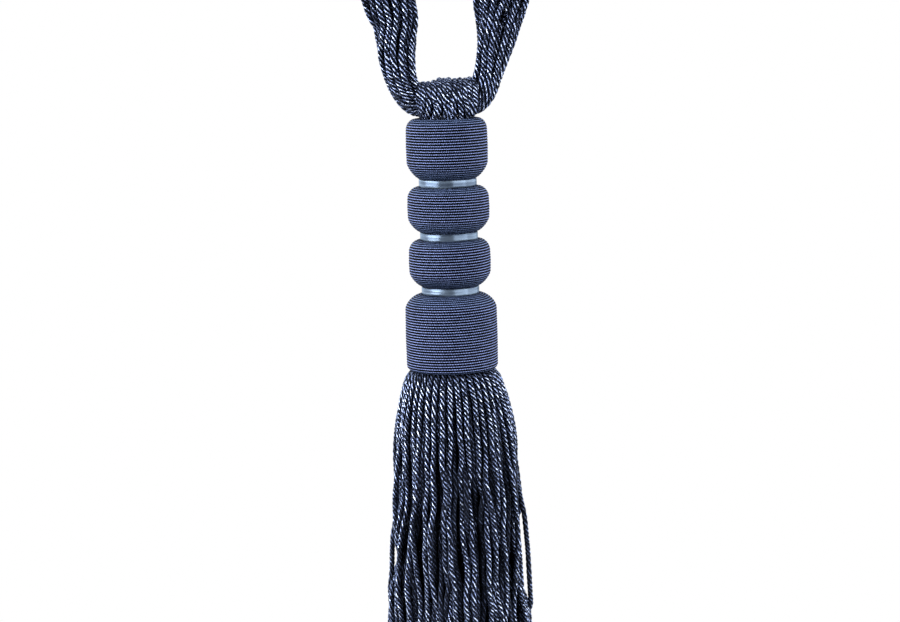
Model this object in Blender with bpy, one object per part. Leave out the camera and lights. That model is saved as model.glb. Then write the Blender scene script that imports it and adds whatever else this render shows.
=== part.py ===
"""Curtain tie-back tassel: a looped hank of cords, four thread-wound moulds, three ribbons and a skirt.

Metres, +Z up. The origin is the hanging point, under the crown of the loop where a hook bears. The
tassel's axis is the Z axis and its front faces -Y.
"""

import math
from typing import NamedTuple

import bmesh
import bpy
from mathutils import Vector

MM = 0.001

# ---- Driving dimensions ----------------------------------------------------------------------------------
FIT_GAP = 0.3 * MM  # clearance between neighbouring pieces

LOOP_DROP = 225 * MM  # from the hanging point down to the top of the head
TOP_BODY = 26.8 * MM  # wound heights of the four moulds, from the top down
UPPER_BODY = 20.2 * MM
LOWER_BODY = 20.8 * MM
BELL_BODY = 33.9 * MM
NECK_HEIGHT = 3.6 * MM  # bare neck under each of the upper three moulds, where a ribbon sits
SKIRT_LENGTH = 160 * MM  # from the bell's lower edge to the mean end of the cords

TOP_BELLY = 18.2 * MM  # largest radii
MIDDLE_BELLY = 18.3 * MM
BELL_BELLY = 20.6 * MM
NECK_RADIUS = 12.0 * MM
BELLY_CROWN = 0.15 * MM  # how much each belly swells half-way up
RIBBON_THICKNESS = 1.0 * MM
RIBBON_EDGE = 0.35 * MM  # bevel of a ribbon's edges

SOCKET_RADIUS = 12.9 * MM  # hole in the top mould that the neck cords go down into
SOCKET_DEPTH = 3.8 * MM
BELL_BORE = 17.8 * MM  # hole in the bell's underside that the skirt is set into
BELL_BORE_DEPTH = 5.4 * MM

TURNED_SIDES = 32  # segments round each turned piece
CORNER_STEPS = 4  # segments in each rounded corner
SEAM_DISTANCE = 1e-6  # points closer than this are one point

CORD_NAVY = (0.022, 0.034, 0.085)
CORD_ROUGHNESS = 0.45
CORD_SHARP_ANGLE = 70.0  # degrees; edges that bend more than this shade as sharp
THREAD_BLUE = (0.055, 0.075, 0.23)
THREAD_ROUGHNESS = 0.6
TURNED_SHARP_ANGLE = 40.0
RIBBON_BLUE = (0.27, 0.38, 0.50)
RIBBON_ROUGHNESS = 0.3

HEAD_TOP = -LOOP_DROP
UPPER_TOP = HEAD_TOP - TOP_BODY - NECK_HEIGHT
LOWER_TOP = UPPER_TOP - UPPER_BODY - NECK_HEIGHT
BELL_TOP = LOWER_TOP - LOWER_BODY - NECK_HEIGHT
BELL_BOTTOM = BELL_TOP - BELL_BODY


class Corner(NamedTuple):
    """The rounding of a mould's top or heel: a fullness of 2 is a quarter-ellipse, 1 a flat bevel."""

    run: float
    rise: float
    fullness: float

    def place(self, share: float) -> tuple:
        """A point's distances from the belly and from the end; share 0 is the end and 1 the belly."""
        turn = math.pi / 2 * share
        power = 2.0 / self.fullness
        return self.run * (1.0 - math.sin(turn) ** power), self.rise * (1.0 - math.cos(turn) ** power)


TOP_SHOULDER = Corner(4.2 * MM, 5.2 * MM, 2.0)
TOP_HEEL = Corner(5.6 * MM, 7.2 * MM, 1.4)
MIDDLE_SHOULDER = Corner(4.4 * MM, 5.0 * MM, 1.85)
MIDDLE_HEEL = Corner(5.6 * MM, 6.4 * MM, 1.45)
BELL_SHOULDER = Corner(7.0 * MM, 6.6 * MM, 1.65)
BELL_HEEL = Corner(1.6 * MM, 2.0 * MM, 2.0)


class HankRow(NamedTuple):
    """One section of the hank, in millimetres: its centre by the head's top, and its two widths."""

    x: float
    z: float
    across: float
    deep: float


HANK_CROWN = HankRow(0.0, 230.5, 11.0, 20.0)
HANK_LEFT = (
    HankRow(-3.4, 7.9, 14.4, 17.0),
    HankRow(-8.2, 7.7, 14.4, 17.0),
    HankRow(-12.9, 7.9, 13.8, 16.8),
    HankRow(-16.8, 11.8, 13.6, 16.4),
    HankRow(-19.4, 18.0, 14.2, 15.6),
    HankRow(-21.0, 27.4, 16.1, 14.4),
    HankRow(-21.0, 35.0, 18.6, 12.4),
    HankRow(-21.3, 43.5, 21.2, 11.2),
    HankRow(-23.9, 52.5, 23.8, 10.2),
    HankRow(-29.0, 80.0, 26.0, 9.6),
    HankRow(-32.4, 108.0, 26.0, 9.6),
    HankRow(-32.4, 135.0, 24.0, 10.4),
    HankRow(-29.5, 160.0, 21.0, 11.6),
    HankRow(-24.6, 183.0, 17.6, 13.4),
    HankRow(-20.8, 200.0, 15.0, 15.6),
    HankRow(-17.3, 214.0, 13.0, 17.6),
    HankRow(-10.5, 226.0, 11.6, 19.4),
)
HANK_RIGHT = (
    HankRow(3.4, 7.9, 14.4, 17.0),
    HankRow(8.2, 7.7, 14.4, 17.0),
    HankRow(12.8, 8.2, 13.8, 16.8),
    HankRow(16.4, 12.4, 13.6, 16.4),
    HankRow(19.0, 19.0, 13.6, 15.6),
    HankRow(21.3, 27.4, 15.8, 14.4),
    HankRow(23.0, 35.0, 18.6, 12.6),
    HankRow(24.4, 43.5, 22.0, 11.2),
    HankRow(25.6, 52.5, 27.4, 10.0),
    HankRow(31.0, 80.0, 28.0, 9.4),
    HankRow(34.2, 108.0, 27.0, 9.6),
    HankRow(33.4, 135.0, 24.6, 10.4),
    HankRow(29.9, 160.0, 21.0, 11.6),
    HankRow(24.6, 183.0, 17.6, 13.4),
    HankRow(20.8, 200.0, 15.0, 15.6),
    HankRow(17.3, 214.0, 13.0, 17.6),
    HankRow(10.5, 226.0, 11.6, 19.4),
)
HANK_STEPS = 2  # sections made for each row
HANK_AHEAD = 0.05  # part of a row by which the hank's direction is looked up ahead and behind
HANK_STRANDS = 12  # ridges round the hank's surface
HANK_GROOVE = 0.10  # depth of the grooves between them, as a part of the radius

WRAP_CORDS = 10  # cords side by side over the hank
WRAP_FOOT_RADIUS = SOCKET_RADIUS - FIT_GAP
WRAP_FOOT_ARC = math.radians(76)  # half the arc of the socket that each face's cords fill
WRAP_FOOT_DROP = SOCKET_DEPTH - FIT_GAP
WRAP_GROOVE = 0.6 * MM
WRAP_HALF_WIDTH = 13.9 * MM
WRAP_OFFSET = 0.6 * MM  # the wrap sits a little to one side
WRAP_HALF_DEPTH = 11.8 * MM
WRAP_HEIGHT = 18.0 * MM
WRAP_TILT = 0.9 * MM  # rise of its top edge from the middle to each side
WRAP_CROWN_FALL = 0.8 * MM  # how far its top falls off towards both sides
WRAP_SIDE_TAPER = 0.10  # how much less deep it is at its sides
WRAP_SPREAD_LEVEL = 2.2 * MM  # where its cords spread from the socket
WRAP_SPREAD_WIDE = 0.6  # how far they have spread sideways there, towards their full width
WRAP_SPREAD_DEEP = 0.7  # and how far forwards
WRAP_FULL_LEVEL = 5.5 * MM  # where they reach their full width
WRAP_ARCH_LEVEL = 9.0 * MM  # where they start to bend over the hank
WRAP_ARCH_STEPS = 4
WAY_CLEARANCE = FIT_GAP + 0.7 * MM  # room round the hank in the way cut through the wrap, for its tight inner bends


class SkirtRow(NamedTuple):
    """One section of the skirt, in millimetres: depth under the bell's edge, radius and groove depth."""

    drop: float
    radius: float
    groove: float


SKIRT_ROWS = (
    SkirtRow(0.6, 17.4, 0.2),
    SkirtRow(1.9, 20.0, 0.6),
    SkirtRow(4.4, 22.0, 0.9),
    SkirtRow(8.0, 23.2, 1.0),
    SkirtRow(14.0, 25.2, 1.1),
    SkirtRow(24.0, 27.2, 1.2),
    SkirtRow(40.0, 29.2, 1.3),
    SkirtRow(60.0, 30.8, 1.4),
    SkirtRow(84.0, 32.8, 1.5),
)


class Sway(NamedTuple):
    """A slow wave round the skirt's outline; its size is a share of the groove depth."""

    size: float
    waves: int  # waves in one round
    start: float
    turn: float  # radians for each millimetre down

    def at(self, angle: float, drop: float) -> float:
        """The wave's value at an angle and a depth in millimetres."""
        return self.size * math.sin(self.waves * angle + self.start + self.turn * drop)


SKIRT_SWAYS = (Sway(0.35, 3, 0.0, 0.05), Sway(0.3, 5, 1.0, 0.0))
SKIRT_SWING = 0.5 * MM  # how far the skirt hangs to one side
SKIRT_SWING_DROP = 30.0  # depth in millimetres at which it has swung out
SKIRT_LOCKS = 22  # locks of cords round the skirt's outside
SKIRT_INNER_LOCKS = 11
LOCK_POINTS = 3  # outline points for each lock
LOCK_DEPTH = 8.5 * MM  # from the skirt's outside to the inner ring of locks
LOCK_ROOM = 0.92  # size of a free lock beside its share of the skirt's section
LOCK_STAGES = 3
LOCK_SPREAD = 1.035  # how much wider the skirt grows over each stage of its free locks
LOCK_TIP = 0.85  # size of a lock's end beside its full section
LOCK_UNEVENNESS = 3.0 * MM
LOCK_RHYTHMS = ((0.6, 2.4, 0.0), (0.4, 5.1, 0.7))  # size, rate and start of the waves in the locks' lengths


# ---- Mesh helpers ----------------------------------------------------------------------------------------
def make_material(name: str, colour: tuple, roughness: float) -> bpy.types.Material:
    """A Principled material with the piece's colour and roughness."""
    material = bpy.data.materials.new(name)
    material.use_nodes = True
    shader = material.node_tree.nodes["Principled BSDF"]
    shader.inputs["Base Color"].default_value = (*colour, 1.0)
    shader.inputs["Roughness"].default_value = roughness
    shader.inputs["Metallic"].default_value = 0.0
    return material


def finish_object(name: str, bm: bmesh.types.BMesh, material: bpy.types.Material, sharp: float):
    """Turn a bmesh into a smooth-shaded object of the scene."""
    bmesh.ops.recalc_face_normals(bm, faces=bm.faces)
    mesh = bpy.data.meshes.new(name)
    bm.to_mesh(mesh)
    bm.free()
    mesh.shade_smooth()
    mesh.set_sharp_from_angle(angle=math.radians(sharp))
    mesh.materials.append(material)
    piece = bpy.data.objects.new(name, mesh)
    bpy.context.collection.objects.link(piece)
    return piece


def bridge(bm: bmesh.types.BMesh, first: list, second: list) -> None:
    """Join two rings of the same number of vertices with a band of faces."""
    count = len(first)
    for i in range(count):
        j = (i + 1) % count
        bm.faces.new((first[i], first[j], second[j], second[i]))


def turned(name: str, profile: list, material: bpy.types.Material, closed: bool = False):
    """Spin a profile of (radius, z) points round the Z axis; a closed profile makes a ring."""
    bm = bmesh.new()
    points = [bm.verts.new((r, 0.0, z)) for r, z in profile]
    edges = [bm.edges.new(pair) for pair in zip(points, points[1:])]
    if closed:
        edges.append(bm.edges.new((points[-1], points[0])))
    bmesh.ops.spin(
        bm,
        geom=points + edges,
        axis=(0.0, 0.0, 1.0),
        cent=(0.0, 0.0, 0.0),
        steps=TURNED_SIDES,
        angle=math.tau,
        use_merge=True,
    )
    bmesh.ops.remove_doubles(bm, verts=bm.verts, dist=SEAM_DISTANCE)
    bmesh.ops.dissolve_degenerate(bm, dist=SEAM_DISTANCE, edges=bm.edges)
    return finish_object(name, bm, material, TURNED_SHARP_ANGLE)


# ---- Turned moulds and ribbons ---------------------------------------------------------------------------
def rounded_side(top: float, height: float, belly: float, shoulder: Corner, heel: Corner) -> list:
    """A mould's outer side from its top face down, slightly crowned, as (radius, z) points."""
    shares = [i / CORNER_STEPS for i in range(CORNER_STEPS + 1)]
    foot = top - height
    upper = [(belly - run, top - rise) for run, rise in map(shoulder.place, shares)]
    lower = [(belly - run, foot + rise) for run, rise in map(heel.place, reversed(shares))]
    middle = (belly + BELLY_CROWN, (upper[-1][1] + lower[0][1]) / 2)
    return [*upper, middle, *lower]


def neck(top: float, height: float) -> list:
    """The bare neck under a mould, down to just above the mould that it stands on."""
    foot = top - height - NECK_HEIGHT + FIT_GAP
    return [(NECK_RADIUS, top - height), (NECK_RADIUS, foot), (0.0, foot)]


def make_moulds() -> None:
    """The four thread-wound moulds, each turned in one piece with its neck."""
    side = rounded_side(HEAD_TOP, TOP_BODY, TOP_BELLY, TOP_SHOULDER, TOP_HEEL)
    floor = HEAD_TOP - SOCKET_DEPTH
    socket = [(0.0, floor), (SOCKET_RADIUS, floor), (SOCKET_RADIUS, HEAD_TOP)]
    profile = socket + side + neck(HEAD_TOP, TOP_BODY)
    turned("top_mould", profile, make_material("top_mould_thread", THREAD_BLUE, THREAD_ROUGHNESS))

    pair = (("upper_mould", UPPER_TOP, UPPER_BODY), ("lower_mould", LOWER_TOP, LOWER_BODY))
    for name, top, height in pair:
        side = rounded_side(top, height, MIDDLE_BELLY, MIDDLE_SHOULDER, MIDDLE_HEEL)
        profile = [(0.0, top)] + side + neck(top, height)
        turned(name, profile, make_material(name + "_thread", THREAD_BLUE, THREAD_ROUGHNESS))

    side = rounded_side(BELL_TOP, BELL_BODY, BELL_BELLY, BELL_SHOULDER, BELL_HEEL)
    roof = BELL_BOTTOM + BELL_BORE_DEPTH
    bore = [(BELL_BORE, BELL_BOTTOM), (BELL_BORE, roof), (0.0, roof)]
    material = make_material("bell_mould_thread", THREAD_BLUE, THREAD_ROUGHNESS)
    turned("bell_mould", [(0.0, BELL_TOP)] + side + bore, material)


def make_ribbons() -> None:
    """A satin band round each of the three necks."""
    inner = NECK_RADIUS + FIT_GAP
    outer = inner + RIBBON_THICKNESS
    bands = (("top_ribbon", UPPER_TOP), ("middle_ribbon", LOWER_TOP), ("bottom_ribbon", BELL_TOP))
    for name, above in bands:
        low = above + FIT_GAP
        high = above + NECK_HEIGHT - FIT_GAP
        profile = [
            (inner, high),
            (outer - RIBBON_EDGE, high),
            (outer, high - RIBBON_EDGE),
            (outer, low + RIBBON_EDGE),
            (outer - RIBBON_EDGE, low),
            (inner, low),
        ]
        material = make_material(name + "_satin", RIBBON_BLUE, RIBBON_ROUGHNESS)
        turned(name, profile, material, closed=True)


# ---- The hank and its wrap -------------------------------------------------------------------------------
def hank_rows() -> list:
    """All the hank's rows in order round the closed loop: up the left, over the crown, down the right."""
    return [*HANK_LEFT, HANK_CROWN, *reversed(HANK_RIGHT)]


def hank_section(rows: list, position: float) -> tuple:
    """The hank's row values at a fractional row number, on a smooth closed curve through the rows."""
    count = len(rows)
    index = math.floor(position)
    t = position - index
    before, start, end, after = (rows[(index + k) % count] for k in (-1, 0, 1, 2))
    values = []
    for a, b, c, d in zip(before, start, end, after):
        bend = (2 * a - 5 * b + 4 * c - d) * t + (3 * (b - c) + d - a) * t * t
        values.append((b + 0.5 * t * (c - a + bend)) * MM)
    return tuple(values)


def make_hank(name: str, groove: float, grow: float, material: bpy.types.Material):
    """The hank as one closed tube of oval section along its loop.

    Args:
        groove: depth of the grooves between its strands, as a part of the radius.
        grow: how much further out than the hank the surface lies.
        material: the tube's material.

    Returns:
        The new object.
    """
    rows = hank_rows()
    total = len(rows) * HANK_STEPS
    sides = 2 * HANK_STRANDS
    bm = bmesh.new()
    rings = []
    for k in range(total):
        position = k / HANK_STEPS
        x, z, across, deep = hank_section(rows, position)
        x_next, z_next, _, _ = hank_section(rows, position + HANK_AHEAD)
        x_last, z_last, _, _ = hank_section(rows, position - HANK_AHEAD)
        along = Vector((x_next - x_last, 0.0, z_next - z_last)).normalized()
        outward = Vector((-along.z, 0.0, along.x))
        centre = Vector((x, 0.0, HEAD_TOP + z))
        ring = []
        for i in range(sides):
            angle = math.tau * (i + 0.5) / sides
            radius = 1.0 - groove * (i % 2)
            side_step = outward * math.cos(angle) * (across / 2 * radius + grow)
            depth_step = Vector((0.0, math.sin(angle) * (deep / 2 * radius + grow), 0.0))
            ring.append(bm.verts.new(centre + side_step + depth_step))
        rings.append(ring)
    for k in range(total):
        bridge(bm, rings[k], rings[(k + 1) % total])
    return finish_object(name, bm, material, CORD_SHARP_ANGLE)


def wrap_arch(t: float, groove: float) -> list:
    """One line of the neck wrap over the hank, from the front foot over the top to the back foot.

    Args:
        t: place across the wrap, from -1 at its left edge to 1 at its right edge.
        groove: how far the line lies inside the surface of the cords.

    Returns:
        The line's points.
    """
    turn = WRAP_FOOT_ARC * t
    foot_x = WRAP_FOOT_RADIUS * math.sin(turn)
    foot_y = (WRAP_FOOT_RADIUS - groove) * math.cos(turn)
    wide_x = WRAP_HALF_WIDTH * t + WRAP_OFFSET
    half_deep = (WRAP_HALF_DEPTH - groove) * (1.0 - WRAP_SIDE_TAPER * t * t)
    spread_x = foot_x + WRAP_SPREAD_WIDE * (wide_x - foot_x)
    spread_y = foot_y + WRAP_SPREAD_DEEP * (half_deep - foot_y)
    top = WRAP_HEIGHT + WRAP_TILT * t - WRAP_CROWN_FALL * t * t - groove
    front = [
        (foot_x, foot_y, -WRAP_FOOT_DROP),
        (foot_x, foot_y, 0.0),
        (spread_x, spread_y, WRAP_SPREAD_LEVEL),
        (wide_x, half_deep, WRAP_FULL_LEVEL),
    ]
    for i in range(WRAP_ARCH_STEPS):
        angle = math.pi / 2 * i / WRAP_ARCH_STEPS
        rise = WRAP_ARCH_LEVEL + (top - WRAP_ARCH_LEVEL) * math.sin(angle)
        front.append((wide_x, half_deep * math.cos(angle), rise))
    left = [Vector((x, -y, HEAD_TOP + z)) for x, y, z in front]
    right = [Vector((x, y, HEAD_TOP + z)) for x, y, z in reversed(front)]
    return [*left, Vector((wide_x, 0.0, HEAD_TOP + top)), *right]


def make_neck_wrap(material: bpy.types.Material, channel) -> None:
    """The saddle of cords over the hank: its foot is in the top mould, and the hank's way is cut out."""
    bm = bmesh.new()
    columns = 2 * WRAP_CORDS + 1
    lines = []
    for i in range(columns):
        t = 2.0 * i / (columns - 1) - 1.0
        groove = WRAP_GROOVE * ((i + 1) % 2)
        lines.append([bm.verts.new(point) for point in wrap_arch(t, groove)])
    for first, second in zip(lines, lines[1:]):
        for a, b, c, d in zip(first, first[1:], second[1:], second):
            bm.faces.new((a, b, c, d))
    for line in (lines[0], lines[-1]):
        half = len(line) // 2
        for i in range(half):
            a, b, c, d = line[i], line[i + 1], line[-i - 2], line[-i - 1]
            bm.faces.new((a, b, d) if b is c else (a, b, c, d))
    bm.faces.new([line[0] for line in lines] + [line[-1] for line in reversed(lines)])
    wrap = finish_object("neck_wrap", bm, material, CORD_SHARP_ANGLE)
    cut = wrap.modifiers.new("hank_way", "BOOLEAN")
    cut.operation = "DIFFERENCE"
    cut.object = channel
    cut.solver = "EXACT"


def make_loop() -> None:
    """The hanging loop and the wrap that ties it to the head."""
    material = make_material("loop_cord", CORD_NAVY, CORD_ROUGHNESS)
    make_hank("hanging_loop", HANK_GROOVE, 0.0, material)
    way = make_hank("hank_way_cutter", 0.0, WAY_CLEARANCE, material)
    way.hide_render = True
    way.display_type = "WIRE"
    make_neck_wrap(make_material("wrap_cord", CORD_NAVY, CORD_ROUGHNESS), way)


# ---- The skirt -------------------------------------------------------------------------------------------
def skirt_ring(bm: bmesh.types.BMesh, row: SkirtRow) -> list:
    """One grooved outline of the skirt; the first point of each lock lies in a groove."""
    points = SKIRT_LOCKS * LOCK_POINTS
    swing = SKIRT_SWING * min(row.drop / SKIRT_SWING_DROP, 1.0)
    level = BELL_BOTTOM - row.drop * MM
    ring = []
    for i in range(points):
        angle = math.tau * i / points
        sway = sum(wave.at(angle, row.drop) for wave in SKIRT_SWAYS)
        radius = (row.radius + sway * row.groove - (row.groove if i % LOCK_POINTS == 0 else 0.0)) * MM
        ring.append(bm.verts.new((radius * math.cos(angle) + swing, radius * math.sin(angle), level)))
    return ring


def lock_faces(bm: bmesh.types.BMesh, outline: list) -> list:
    """Part the skirt's lower face into a ring of outer locks and the inner locks, and return those faces."""
    level = outline[0].co.z
    inner = []
    for k in range(SKIRT_LOCKS):
        angle = math.tau * k / SKIRT_LOCKS
        radius = SKIRT_ROWS[-1].radius * MM - LOCK_DEPTH
        inner.append(bm.verts.new((radius * math.cos(angle) + SKIRT_SWING, radius * math.sin(angle), level)))
    middle = bm.verts.new((SKIRT_SWING, 0.0, level))
    faces = []
    count = len(outline)
    for k in range(SKIRT_LOCKS):
        start = k * LOCK_POINTS
        rim = [outline[(start + i) % count] for i in range(LOCK_POINTS + 1)]
        faces.append(bm.faces.new([*reversed(rim), inner[k], inner[(k + 1) % SKIRT_LOCKS]]))
    stride = SKIRT_LOCKS // SKIRT_INNER_LOCKS
    for k in range(SKIRT_INNER_LOCKS):
        ends = [inner[(k * stride + i) % SKIRT_LOCKS] for i in range(stride + 1)]
        faces.append(bm.faces.new([*reversed(ends), middle]))
    return faces


def draw_down(bm: bmesh.types.BMesh, face: bmesh.types.BMFace, drop: float, size: float, spread: float):
    """Extrude one face down on its own.

    Args:
        face: the face to extrude.
        drop: how far it moves down.
        size: its new size about its own centre.
        spread: how many times further from the skirt's axis it ends.

    Returns:
        The extruded face.
    """
    grown = bmesh.ops.extrude_discrete_faces(bm, faces=[face])["faces"][0]
    centre = grown.calc_center_median()
    for vert in grown.verts:
        moved = centre + (vert.co - centre) * size
        vert.co = (moved.x * spread, moved.y * spread, moved.z - drop)
    return grown


def grow_locks(bm: bmesh.types.BMesh, faces: list) -> None:
    """Draw each lock down to its own uneven, slightly narrowed end."""
    free_length = SKIRT_LENGTH - SKIRT_ROWS[-1].drop * MM
    for number, face in enumerate(faces):
        unevenness = sum(size * math.sin(rate * number + start) for size, rate, start in LOCK_RHYTHMS)
        stage_drop = (free_length + LOCK_UNEVENNESS * unevenness) / LOCK_STAGES
        lock = draw_down(bm, face, 0.0, LOCK_ROOM, 1.0)
        for _ in range(LOCK_STAGES - 1):
            lock = draw_down(bm, lock, stage_drop, 1.0, LOCK_SPREAD)
        draw_down(bm, lock, stage_drop, LOCK_TIP, LOCK_SPREAD)


def make_skirt() -> None:
    """The skirt as one comb: a head set into the bell, a grooved flaring body and free locks at the end."""
    bm = bmesh.new()
    root_top = BELL_BOTTOM + BELL_BORE_DEPTH - FIT_GAP
    rings = [skirt_ring(bm, row) for row in SKIRT_ROWS]
    root = [bm.verts.new((vert.co.x, vert.co.y, root_top)) for vert in rings[0]]
    for first, second in zip([root, *rings], rings):
        bridge(bm, first, second)
    bm.faces.new(root)
    grow_locks(bm, lock_faces(bm, rings[-1]))
    bmesh.ops.triangulate(bm, faces=bm.faces)
    finish_object("skirt", bm, make_material("skirt_cord", CORD_NAVY, CORD_ROUGHNESS), CORD_SHARP_ANGLE)


def main() -> None:
    """Build every piece of the tassel."""
    for old in list(bpy.data.objects):
        bpy.data.objects.remove(old)
    make_loop()
    make_moulds()
    make_ribbons()
    make_skirt()


main()
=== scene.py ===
"""Dresses the curtain tie-back tassel: twisted cords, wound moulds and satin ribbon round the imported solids.

Metres, +Z up, front towards -Y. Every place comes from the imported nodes' boxes, and the classes hold the
pieces' own sizes.
"""

import logging
import math
from dataclasses import dataclass, field, replace
from enum import Enum
from typing import Callable, NamedTuple, Sequence

import bpy
import numpy as np
from mathutils import Matrix, Vector


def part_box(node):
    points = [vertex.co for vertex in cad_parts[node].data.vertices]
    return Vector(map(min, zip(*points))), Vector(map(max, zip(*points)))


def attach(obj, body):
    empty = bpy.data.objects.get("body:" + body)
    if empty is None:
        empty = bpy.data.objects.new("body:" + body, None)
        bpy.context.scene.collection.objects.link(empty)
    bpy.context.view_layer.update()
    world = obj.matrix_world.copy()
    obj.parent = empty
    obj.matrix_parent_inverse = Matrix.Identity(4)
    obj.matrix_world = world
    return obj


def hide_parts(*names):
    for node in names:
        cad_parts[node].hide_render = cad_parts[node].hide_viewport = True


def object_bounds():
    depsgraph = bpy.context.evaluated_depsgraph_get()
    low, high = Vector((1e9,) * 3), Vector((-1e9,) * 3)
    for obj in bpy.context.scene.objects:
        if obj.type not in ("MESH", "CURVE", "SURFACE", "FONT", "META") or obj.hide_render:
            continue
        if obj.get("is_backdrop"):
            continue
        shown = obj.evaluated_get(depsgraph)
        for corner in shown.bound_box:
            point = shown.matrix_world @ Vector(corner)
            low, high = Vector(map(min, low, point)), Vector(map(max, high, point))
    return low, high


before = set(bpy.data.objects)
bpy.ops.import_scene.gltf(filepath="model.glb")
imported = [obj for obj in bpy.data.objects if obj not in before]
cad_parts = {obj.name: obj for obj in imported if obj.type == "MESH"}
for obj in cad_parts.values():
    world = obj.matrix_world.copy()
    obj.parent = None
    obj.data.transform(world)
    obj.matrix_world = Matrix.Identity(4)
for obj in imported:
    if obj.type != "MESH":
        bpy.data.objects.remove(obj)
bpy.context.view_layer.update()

LOG = logging.getLogger("tassel")
MM = 0.001
ROOT = "root"
BAKE_MAP = "OFBake"
WINDING_MAP = "winding"
CURVE_PARTS = 6
TINY = 1e-9

Array = np.ndarray
Draw = np.random.Generator
Colour = tuple[float, float, float]
Socket = bpy.types.NodeSocket
Value = Socket | float | tuple
Inputs = dict[str | int, Value]
Heart = Callable[[Array], Array]


# ---- Shader helpers ----
class Graph:
    """Places and joins shader nodes in one tree."""

    def __init__(self, tree: bpy.types.NodeTree) -> None:
        """Keep the tree that the nodes go into."""
        self.tree = tree

    def feed(self, socket: Socket, value: Value) -> None:
        """Join an input socket to an output socket, or set its own value.

        Args:
            socket: the input socket.
            value: the output socket, or the value.
        """
        if isinstance(value, Socket):
            self.tree.links.new(value, socket)
        else:
            socket.default_value = value

    def add(self, kind: str, inputs: Inputs | None = None, **settings: object) -> bpy.types.Node:
        """Place one node.

        Args:
            kind: the node's type, without its leading "ShaderNode".
            inputs: what its input sockets get, by name or number.
            settings: the node's own properties.

        Returns:
            The new node.
        """
        node = self.tree.nodes.new("ShaderNode" + kind)
        for name, value in settings.items():
            setattr(node, name, value)
        for name, value in (inputs or {}).items():
            self.feed(node.inputs[name], value)
        return node

    def maths(self, operation: str, *values: Value) -> Socket:
        """One number worked out from others by an operation of the Math node."""
        return self.add("Math", dict(enumerate(values)), operation=operation).outputs["Value"]

    def times(self, first: Value, second: Value) -> Socket:
        """One number times another."""
        return self.maths("MULTIPLY", first, second)

    def spread(self, value: Value, low: float, high: float, to_low: Value = 0, to_high: Value = 1) -> Socket:
        """Map a value smoothly from the range low to high to the range to_low to to_high."""
        ranges = {"Value": value, "From Min": low, "From Max": high, "To Min": to_low, "To Max": to_high}
        return self.add("MapRange", ranges, interpolation_type="SMOOTHSTEP").outputs["Result"]

    def blend(self, factor: Value, first: Value, second: Value) -> Socket:
        """Mix two colours, each a socket or three numbers; the factor is how much of the second one shows."""
        first, second = (value if isinstance(value, Socket) else (*value, 1.0) for value in (first, second))
        return self.add("Mix", {"Factor": factor, 6: first, 7: second}, data_type="RGBA").outputs[2]

    def noise(self, vector: Value, scale: Value, detail: float) -> Socket:
        """A soft noise value round 0.5 over a vector."""
        return self.add("TexNoise", {"Vector": vector, "Scale": scale, "Detail": detail}).outputs["Fac"]

    def mesh_value(self, name: str, output: str = "Fac") -> Socket:
        """A value that the mesh holds for each of its points."""
        return self.add("Attribute", attribute_name=name).outputs[output]

    def place(self) -> Socket:
        """The place on the piece, in its own metres."""
        return self.add("TexCoord").outputs["Object"]


class EffectGroup:
    """A shader node group that several finishes share."""

    def __init__(self, name: str, inputs: dict[str, Value], output_names: Sequence[str]) -> None:
        """Make the empty group.

        Args:
            name: the group's name.
            inputs: the input sockets' names and their default values; three numbers make a vector.
            output_names: the names of its outputs, each one number.
        """
        self.tree = bpy.data.node_groups.new(name, "ShaderNodeTree")
        for label, value in inputs.items():
            kind = "NodeSocketVector" if isinstance(value, tuple) else "NodeSocketFloat"
            socket = self.tree.interface.new_socket(label, in_out="INPUT", socket_type=kind)
            socket.default_value = value
        for label in output_names:
            self.tree.interface.new_socket(label, in_out="OUTPUT", socket_type="NodeSocketFloat")
        self.graph = Graph(self.tree)
        self.given = self.tree.nodes.new("NodeGroupInput").outputs
        self.result = self.tree.nodes.new("NodeGroupOutput").inputs

    def place(self, graph: Graph, **values: Value) -> bpy.types.NodeOutputs:
        """Put the group into a material, with its own values for some inputs, and give its outputs."""
        return graph.add("Group", values, node_tree=self.tree).outputs


def fibre_group() -> EffectGroup:
    """Fine fibres that run along a yarn.

    Returns:
        The group, which puts out a mask of lit and dull fibres and their height.
    """
    inputs = {"Vector": (0.0, 0.0, 0.0), "Across": 6.0, "Along": 0.5}
    group = EffectGroup("fibres", inputs, ("Streak", "Height"))
    graph, given = group.graph, group.given
    sizes = graph.add("CombineXYZ", {"X": given["Across"], "Y": given["Across"], "Z": given["Along"]})
    parts = {0: given["Vector"], 1: sizes.outputs["Vector"]}
    stretched = graph.add("VectorMath", parts, operation="MULTIPLY").outputs["Vector"]
    streak = graph.noise(stretched, 1.0, 3.0)
    graph.feed(group.result["Streak"], graph.spread(streak, 0.3, 0.7))
    graph.feed(group.result["Height"], streak)
    return group


def drift_group() -> EffectGroup:
    """A slow change of shade over a piece, as yarn takes up dye and light unevenly.

    Returns:
        The group, which puts out the shade.
    """
    inputs = {"Vector": (0.0, 0.0, 0.0), "Scale": 0.1, "Low": 0.85, "High": 1.15}
    group = EffectGroup("shade drift", inputs, ("Shade",))
    graph, given = group.graph, group.given
    value = graph.noise(given["Vector"], given["Scale"], 1.0)
    graph.feed(group.result["Shade"], graph.spread(value, 0.3, 0.7, given["Low"], given["High"]))
    return group


class Effects(NamedTuple):
    """The shared node groups."""

    fibres: EffectGroup
    drift: EffectGroup


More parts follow.
